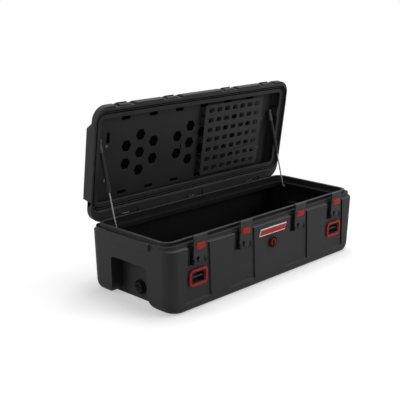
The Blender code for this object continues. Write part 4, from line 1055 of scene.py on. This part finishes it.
def joint_place(name):
    """Axis point and direction of a joint."""
    joint = joint_named(name)
    return Vector(joint["pos_m"]), Vector(joint["axis"]).normalized()


def ring(name, sizes, face, joint, finish, body, *nodes):
    """A ring round a joint's axis, a little proud of a face, from two radii and a height."""
    inner, outer, height = sizes
    middle = (inner + outer) / 2
    band = outer - inner
    piece = swept_piece(
        name,
        finish,
        Length=2 * middle,
        Width=2 * middle,
        Corner=middle,
        Strip_Width=band,
        Strip_Height=height,
        Rounding=RING_ROUNDING * min(band, height),
    )
    centre, axis = joint_place(joint)
    level = face + RING_PROUD - height / 2
    piece.data.transform(facing(axis, centre + axis * level))
    dress(piece, finish, body, *nodes)
    print(name, len(piece.data.polygons), "faces")


ring("valve_seal", VALVE_SEAL, VALVE_FACE, "valve_turn", "seal_rubber", "base")
ring(
    "valve_knob_ring", KNOB_RING, KNOB_FACE, "valve_turn", "red_plastic", "valve_knob", "valve_knob"
)
knob_grip = with_flat_faces(softened("valve_knob", GRIP_ROUNDING, GRIP_SEGMENTS))
dress(knob_grip, "black_plastic", "valve_knob")
ring("drain_seal", DRAIN_SEAL, DRAIN_FACE, "drain_turn", "seal_rubber", "base")

# %% [markdown]
# A red frame goes round each tie-down point. It is a rounded bar, so it shows a bright crown and a dark
# inner side. The solid's own frame could be rounded like the other parts, but it is broader, and the
# swept strip gives the slim bar at once. It follows the slight lean of the front wall, which the valve's
# axis gives.

# %% Red frames of the tie-down points
FRAME_LENGTH = 0.0895
FRAME_WIDTH = 0.0635
FRAME_BAND = 0.0095
FRAME_HEIGHT = 0.0080
FRAME_CORNER = 0.0130
FRAME_ROUNDING = 0.0032

wall_axis = joint_place("valve_turn")[1]
for side in SIDES:
    red_frame = swept_piece(
        f"tiedown_frame_{side}",
        "red_plastic",
        Length=FRAME_LENGTH - FRAME_BAND,
        Width=FRAME_WIDTH - FRAME_BAND,
        Corner=FRAME_CORNER,
        Strip_Width=FRAME_BAND,
        Strip_Height=FRAME_HEIGHT,
        Rounding=FRAME_ROUNDING,
    )
    low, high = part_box(f"tiedown_bezel_{side}")
    red_frame.data.transform(facing(wall_axis, (Vector(low) + Vector(high)) / 2))
    dress(red_frame, "red_plastic", "base", f"tiedown_bezel_{side}")
    print(red_frame.name, len(red_frame.data.polygons), "faces")

# %% [markdown]
# Each latch lever has a lock below its button and a slit beside it, drawn as thin near-black plates of
# painted shade: the keyhole outline is the shade in the lock's hole with the shadow below it, and the
# slit is the shade in the slit. Both lie on the lever's sloping front face, so the face itself is looked
# up in the solid and the outline is drawn in its plane. A boolean cut would also do, but a dark plate is
# what the eye sees.

# %% Painted shade of the locks on the levers
LOCK_SHIFT = -0.0108
LOCK_LEVEL = 0.1935
LOCK_RADIUS = 0.0068
LOCK_TAIL = 0.0165
LOCK_TAIL_HALF = 0.0030
SLIT_SHIFT = 0.0222
SLIT_LEVEL = 0.1868
SLIT_HALF = (0.0014, 0.0096)
SHADE_PLATE_PROUD = 0.0004
SHADE_PLATE_DEPTH = 0.0008
ARC_STEPS = 18
CORNER_STEPS = 6
FRONT_FACING = 0.9
LOWER_WEIGHT = 0.05


def arc(centre, radius, start, end, steps):
    """Points on an arc, from one angle to another in degrees."""
    angles = [math.radians(start + (end - start) * step / steps) for step in range(steps + 1)]
    return [(centre[0] + radius * math.cos(a), centre[1] + radius * math.sin(a)) for a in angles]


def keyhole():
    """A circle with a tail that hangs from it."""
    lean = math.degrees(math.asin(LOCK_TAIL_HALF / LOCK_RADIUS))
    tail_middle = (0.0, LOCK_TAIL_HALF - LOCK_TAIL)
    tail = arc(tail_middle, LOCK_TAIL_HALF, 180, 360, CORNER_STEPS)
    return tail + arc((0.0, 0.0), LOCK_RADIUS, lean - 90, 270 - lean, ARC_STEPS)


def capsule(half_width, half_height):
    """A slot with round ends."""
    reach = half_height - half_width
    low = arc((0.0, -reach), half_width, 180, 360, CORNER_STEPS)
    return low + arc((0.0, reach), half_width, 0, 180, CORNER_STEPS)


def plates(name, shapes, low, high):
    """An object of closed plates. A shape is an outline and the matrix of the plane it lies on."""
    work = bmesh.new()
    for outline, place in shapes:
        bottom = [work.verts.new(place @ Vector((x, y, low))) for x, y in outline]
        top = [work.verts.new(place @ Vector((x, y, high))) for x, y in outline]
        work.faces.new(top)
        work.faces.new(reversed(bottom))
        for number in range(len(outline)):
            after = (number + 1) % len(outline)
            work.faces.new((bottom[number], bottom[after], top[after], top[number]))
    mesh = bpy.data.meshes.new(name)
    work.to_mesh(mesh)
    work.free()
    made = bpy.data.objects.new(name, mesh)
    bpy.context.scene.collection.objects.link(made)
    return made


def front_plane(node, x, z):
    """A matrix on a lever's large lower front face, at an x and a z. Its Z looks out of the face."""
    faces = [face for face in frame["nodes"][node].data.polygons if face.normal.y < -FRONT_FACING]
    face = min(faces, key=lambda face: face.center.y + LOWER_WEIGHT * face.center.z - face.area)
    normal = Vector(face.normal)
    away = Vector((x, face.center.y, z)) - Vector(face.center)
    y = face.center.y - (normal.x * away.x + normal.z * away.z) / normal.y
    up = (Vector((0.0, 0.0, 1.0)) - normal * normal.z).normalized()
    turn = Matrix((up.cross(normal), up, normal)).transposed().to_4x4()
    return Matrix.Translation((x, y, z)) @ turn


for number in LATCH_NUMBERS:
    lever = f"latch_lever_{number}"
    low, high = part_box(lever)
    middle = (low[0] + high[0]) / 2
    shapes = [
        (keyhole(), front_plane(lever, middle + LOCK_SHIFT, LOCK_LEVEL)),
        (capsule(*SLIT_HALF), front_plane(lever, middle + SLIT_SHIFT, SLIT_LEVEL)),
    ]
    shade_plate = plates(f"lock_cover_{number}", shapes, SHADE_PLATE_PROUD - SHADE_PLATE_DEPTH, SHADE_PLATE_PROUD)
    dress(shade_plate, "dark_foam", f"lever_{number}")
print("lock shade_plates:", len(LATCH_NUMBERS), "with", len(shade_plate.data.polygons), "faces each")

# %% [markdown]
# Behind the hexagon panel lies a thin near-black sheet of painted shade. It is seen only through the
# holes, and makes them look deep and dark. The sheet is a rounded plate with a round hole for each boss
# that carries the panel. An outline with holes in it can't be a single face, so a Boolean modifier cuts
# the holes out of the plain plate.

# %% Painted shade sheet behind the hexagon panel
SHEET_EDGE = 0.006
SHEET_GAP = 0.0003
SHEET_THICKNESS = 0.0007
SHEET_CORNER = 0.012
BOSS_HOLE = 0.0090
BOSS_CUT_HALF = 0.01
BOSS_COUNT = 4
PANEL_SCREWS = [f"hex_panel_screw_{number + 1}" for number in range(BOSS_COUNT)]


def rounded_outline(low, high, radius):
    """A rectangle with round corners."""
    corners = (
        ((high.x - radius, high.y - radius), 0),
        ((low.x + radius, high.y - radius), 90),
        ((low.x + radius, low.y + radius), 180),
        ((high.x - radius, low.y + radius), 270),
    )
    return [
        point
        for centre, start in corners
        for point in arc(centre, radius, start, start + 90, CORNER_STEPS)
    ]


panel_low, panel_high = shut_box("hex_panel")
edge = Vector((SHEET_EDGE, SHEET_EDGE, 0.0))
as_drawn = Matrix.Identity(4)
sheet_low = panel_high.z + SHEET_GAP
sheet_shape = (rounded_outline(panel_low + edge, panel_high - edge, SHEET_CORNER), as_drawn)
sheet = plates("panel_foam", [sheet_shape], sheet_low, sheet_low + SHEET_THICKNESS)
boss_spots = [(sum(shut_box(node), Vector()) / 2).to_2d() for node in PANEL_SCREWS]
last_angle = 360 - 360 / ARC_STEPS
boss_holes = [arc(spot, BOSS_HOLE, 0, last_angle, ARC_STEPS - 1) for spot in boss_spots]
boss_shapes = [(outline, as_drawn) for outline in boss_holes]
cutter = plates("boss_cutter", boss_shapes, sheet_low - BOSS_CUT_HALF, sheet_low + BOSS_CUT_HALF)
holes = sheet.modifiers.new("boss_holes", "BOOLEAN")
holes.operation = "DIFFERENCE"
holes.solver = "EXACT"
holes.object = cutter
baked(sheet)
bpy.data.objects.remove(cutter)
sheet.data.transform(OPEN_TURN)
dress(sheet, "dark_foam", "lid")
print("foam sheet:", len(sheet.data.polygons), "faces,", len(boss_spots), "boss holes")

# %% [markdown]
# Screws and rivets repeat all over the case. One geometry tree makes a domed head, cuts a cross into it
# where it has a drive, and sets a copy on every point of a mesh, along the direction that the point
# carries. The spin of each cross is random with a fixed seed, as no one lines screws up.

# %% Tree for screw and rivet heads
HEAD_SIDES = 20
HEAD_RINGS = 5
DOME_POWER = 3.0
BAR_SHARES = (1.1, 0.28)
SPIN_SEED = 7

heads = Graph(
    "fastener_heads",
    "GeometryNodeTree",
    {
        "Geometry": "Geometry",
        "Radius": 0.004,
        "Height": 0.002,
        "Dome": 0.35,
        "Drive": True,
        "Finish": "Material",
    },
    {"Geometry": "Geometry"},
)
radius, height = heads.given["Radius"], heads.given["Height"]
drum = heads.add("GeometryNodeMeshCylinder", fill_type="NGON")
blank = heads.fill(
    drum, Vertices=HEAD_SIDES, Side_Segments=HEAD_RINGS, Radius=radius, Depth=height
)
spot = heads.add("ShaderNodeSeparateXYZ")
heads.join(heads.add("GeometryNodeInputPosition").outputs[0], spot.inputs[0])
rise = heads.math("ADD", heads.math("DIVIDE", spot.outputs[2], height), 0.5)
draw_in = heads.math("MULTIPLY", heads.math("POWER", rise, DOME_POWER), heads.given["Dome"])
keep = heads.math("SUBTRACT", 1.0, draw_in)
domed = heads.add("ShaderNodeCombineXYZ")
heads.join(heads.math("MULTIPLY", spot.outputs[0], keep), domed.inputs[0])
heads.join(heads.math("MULTIPLY", spot.outputs[1], keep), domed.inputs[1])
heads.join(heads.math("MULTIPLY", rise, height), domed.inputs[2])
shaped = heads.fill(
    heads.add("GeometryNodeSetPosition"), Geometry=blank, Position=domed.outputs[0]
)

# Two crossing bars, sunk to half the head's height, make the drive
bars = heads.add("GeometryNodeJoinGeometry")
for x_share, y_share in (BAR_SHARES, BAR_SHARES[::-1]):
    size = heads.add("ShaderNodeCombineXYZ")
    heads.join(heads.math("MULTIPLY", radius, x_share), size.inputs[0])
    heads.join(heads.math("MULTIPLY", radius, y_share), size.inputs[1])
    heads.join(height, size.inputs[2])
    bar = heads.fill(heads.add("GeometryNodeMeshCube"), Size=size.outputs[0])
    lift = heads.add("ShaderNodeCombineXYZ")
    heads.join(height, lift.inputs[2])
    moved = heads.add("GeometryNodeTransform")
    heads.join(heads.fill(moved, Geometry=bar, Translation=lift.outputs[0]), bars.inputs[0])
cross = heads.add("GeometryNodeMeshBoolean", operation="DIFFERENCE", solver="EXACT")
heads.join(shaped, cross.inputs["Mesh 1"])
heads.join(bars.outputs[0], cross.inputs["Mesh 2"])
cross.inputs["Self Intersection"].default_value = True
choice = heads.add("GeometryNodeSwitch", input_type="GEOMETRY")
heads.join(heads.given["Drive"], choice.inputs["Switch"])
heads.join(shaped, choice.inputs["False"])
heads.join(cross.outputs[0], choice.inputs["True"])

head_axis = heads.add("GeometryNodeInputNamedAttribute", data_type="FLOAT_VECTOR")
head_axis.inputs["Name"].default_value = "axis"
upright = heads.add("FunctionNodeAlignRotationToVector", axis="Z")
heads.join(head_axis.outputs["Attribute"], upright.inputs["Vector"])
chance = heads.add("FunctionNodeRandomValue", data_type="FLOAT")
chance.inputs["Seed"].default_value = SPIN_SEED
spin = heads.add("ShaderNodeCombineXYZ")
turn_share = next(socket for socket in chance.outputs if socket.enabled)
heads.join(heads.math("MULTIPLY", turn_share, math.pi), spin.inputs[2])
twist = heads.add("FunctionNodeRotateRotation", rotation_space="LOCAL")
heads.join(upright.outputs[0], twist.inputs["Rotation"])
heads.join(spin.outputs[0], twist.inputs["Rotate By"])
copies = heads.fill(
    heads.add("GeometryNodeInstanceOnPoints"),
    Points=heads.given["Geometry"],
    Instance=choice.outputs[0],
    Rotation=twist.outputs[0],
)
whole = heads.fill(heads.add("GeometryNodeRealizeInstances"), Geometry=copies)
finished = heads.add("GeometryNodeSetMaterial")
heads.join(heads.fill(finished, Geometry=whole, Material=heads.given["Finish"]), heads.result[0])
print("head tree has", len(heads.tree.nodes), "nodes")

# %% [markdown]
# The heads sit where the fittings need them: on both leaves of every hinge, on the strut brackets, and
# in the hexagon panel. They could be copied and turned by hand, but a mesh of bare points that carry the
# way each head faces is quicker to change. Lid points are given with the lid shut and turned open with
# it.

# %% Screws and rivets in place
LEAF_SCREW_SPREAD = 0.034
LEAF_SCREW_LEVELS = (0.2116, 0.2390)
LEAF_FACE_BEHIND_AXIS = 0.0005
LID_LEAF_SCREW_LEVEL = 0.280
LID_LEAF_FACE_Y = 0.2163
BRACKET_PLATE = 0.0030
BASE_RIVET_SHIFT = 0.013
LID_RIVET_SHIFT = 0.012
LID_RIVET_BELOW_TOP = 0.0075
PANEL_SCREW_SEAT = 0.0002
HEAD_SIZES = {"panel": (0.0072, 0.0030), "leaf": (0.0036, 0.0014), "rivet": (0.0024, 0.0012)}
BACKWARD = Vector((0.0, 1.0, 0.0))
DOWNWARD = Vector((0.0, 0.0, -1.0))


def point_mesh(name, spots):
    """Bare points with the direction each head faces, from (place, direction) pairs."""
    mesh = bpy.data.meshes.new(name)
    mesh.from_pydata([place for place, _ in spots], [], [])
    axis = mesh.attributes.new("axis", "FLOAT_VECTOR", "POINT")
    for item, (_, direction) in zip(axis.data, spots):
        item.vector = direction
    return mesh


def opened(spots):
    """Lid spots given with the lid shut, turned to the open lid."""
    turn = OPEN_TURN.to_3x3()
    return [(OPEN_TURN @ place, turn @ direction) for place, direction in spots]


def set_heads(name, kind, drive, finish, body, spots, *nodes):
    """One piece with a head on every spot."""
    radius, height = HEAD_SIZES[kind]
    piece = grown(
        name,
        point_mesh(name, spots),
        heads,
        Radius=radius,
        Height=height,
        Drive=drive,
        Finish=FINISH[finish],
    )
    dress(piece, finish, body, *nodes)
    print(name, len(spots), "heads,", len(piece.data.polygons), "faces")


base_leaf_screws = []
lid_leaf_screws = []
for hinge in HINGES:
    low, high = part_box(f"hinge_base_leaf_{hinge}")
    middle = (low[0] + high[0]) / 2
    for x in (middle - LEAF_SCREW_SPREAD, middle + LEAF_SCREW_SPREAD):
        for level in LEAF_SCREW_LEVELS:
            place = Vector((x, HINGE_AXIS.y + LEAF_FACE_BEHIND_AXIS, level))
            base_leaf_screws.append((place, BACKWARD))
        place = Vector((x, LID_LEAF_FACE_Y, LID_LEAF_SCREW_LEVEL))
        lid_leaf_screws.append((place, BACKWARD))

base_rivets = []
lid_rivets = []
for side, inward in zip(SIDES, (1.0, -1.0)):
    facing_middle = Vector((inward, 0.0, 0.0))
    low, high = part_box(f"strut_base_bracket_{side}")
    plate_x = (low[0] if inward > 0 else high[0]) + inward * BRACKET_PLATE
    middle = (Vector(low) + Vector(high)) / 2
    for shift in (-BASE_RIVET_SHIFT, BASE_RIVET_SHIFT):
        base_rivets.append((Vector((plate_x, middle.y + shift, middle.z)), facing_middle))
    low, high = shut_box(f"strut_lid_bracket_{side}")
    plate_x = (low.x if inward > 0 else high.x) + inward * BRACKET_PLATE
    middle = (low + high) / 2
    for shift in (-LID_RIVET_SHIFT, LID_RIVET_SHIFT):
        place = Vector((plate_x, middle.y + shift, high.z - LID_RIVET_BELOW_TOP))
        lid_rivets.append((place, facing_middle))

panel_face = panel_low.z - PANEL_SCREW_SEAT
panel_screws = [(Vector((spot.x, spot.y, panel_face)), DOWNWARD) for spot in boss_spots]

set_heads("base_leaf_screws", "leaf", True, "black_metal", "base", base_leaf_screws)
set_heads("lid_leaf_screws", "leaf", True, "black_metal", "lid", opened(lid_leaf_screws))
set_heads("base_bracket_rivets", "rivet", False, "black_metal", "base", base_rivets)
set_heads("lid_bracket_rivets", "rivet", False, "steel", "lid", opened(lid_rivets))
set_heads("panel_screws", "panel", True, "dull_steel", "lid", opened(panel_screws), *PANEL_SCREWS)

# %% [markdown]
# Pins, nuts, springs and bushes are hidden or nearly so. They could be rounded too, but no one would see
# it, so their solids stay as they are and only get the right finish.

# %% Finish the solids that stay
STAYING = {
    "hinge_pin": "black_metal",
    "latch_pin": "steel",
    "button_spring": "steel",
    "strut_gland": "fitting_plastic",
    "valve_nut": "fitting_plastic",
    "drain_nut": "fitting_plastic",
}
kept = 0
for name, item in frame["nodes"].items():
    if item.hide_render:
        continue
    finish = next(value for start, value in STAYING.items() if name.startswith(start))
    item.material_slots[0].material = FINISH[finish]
    kept += 1
print("solids shown as they are:", kept)
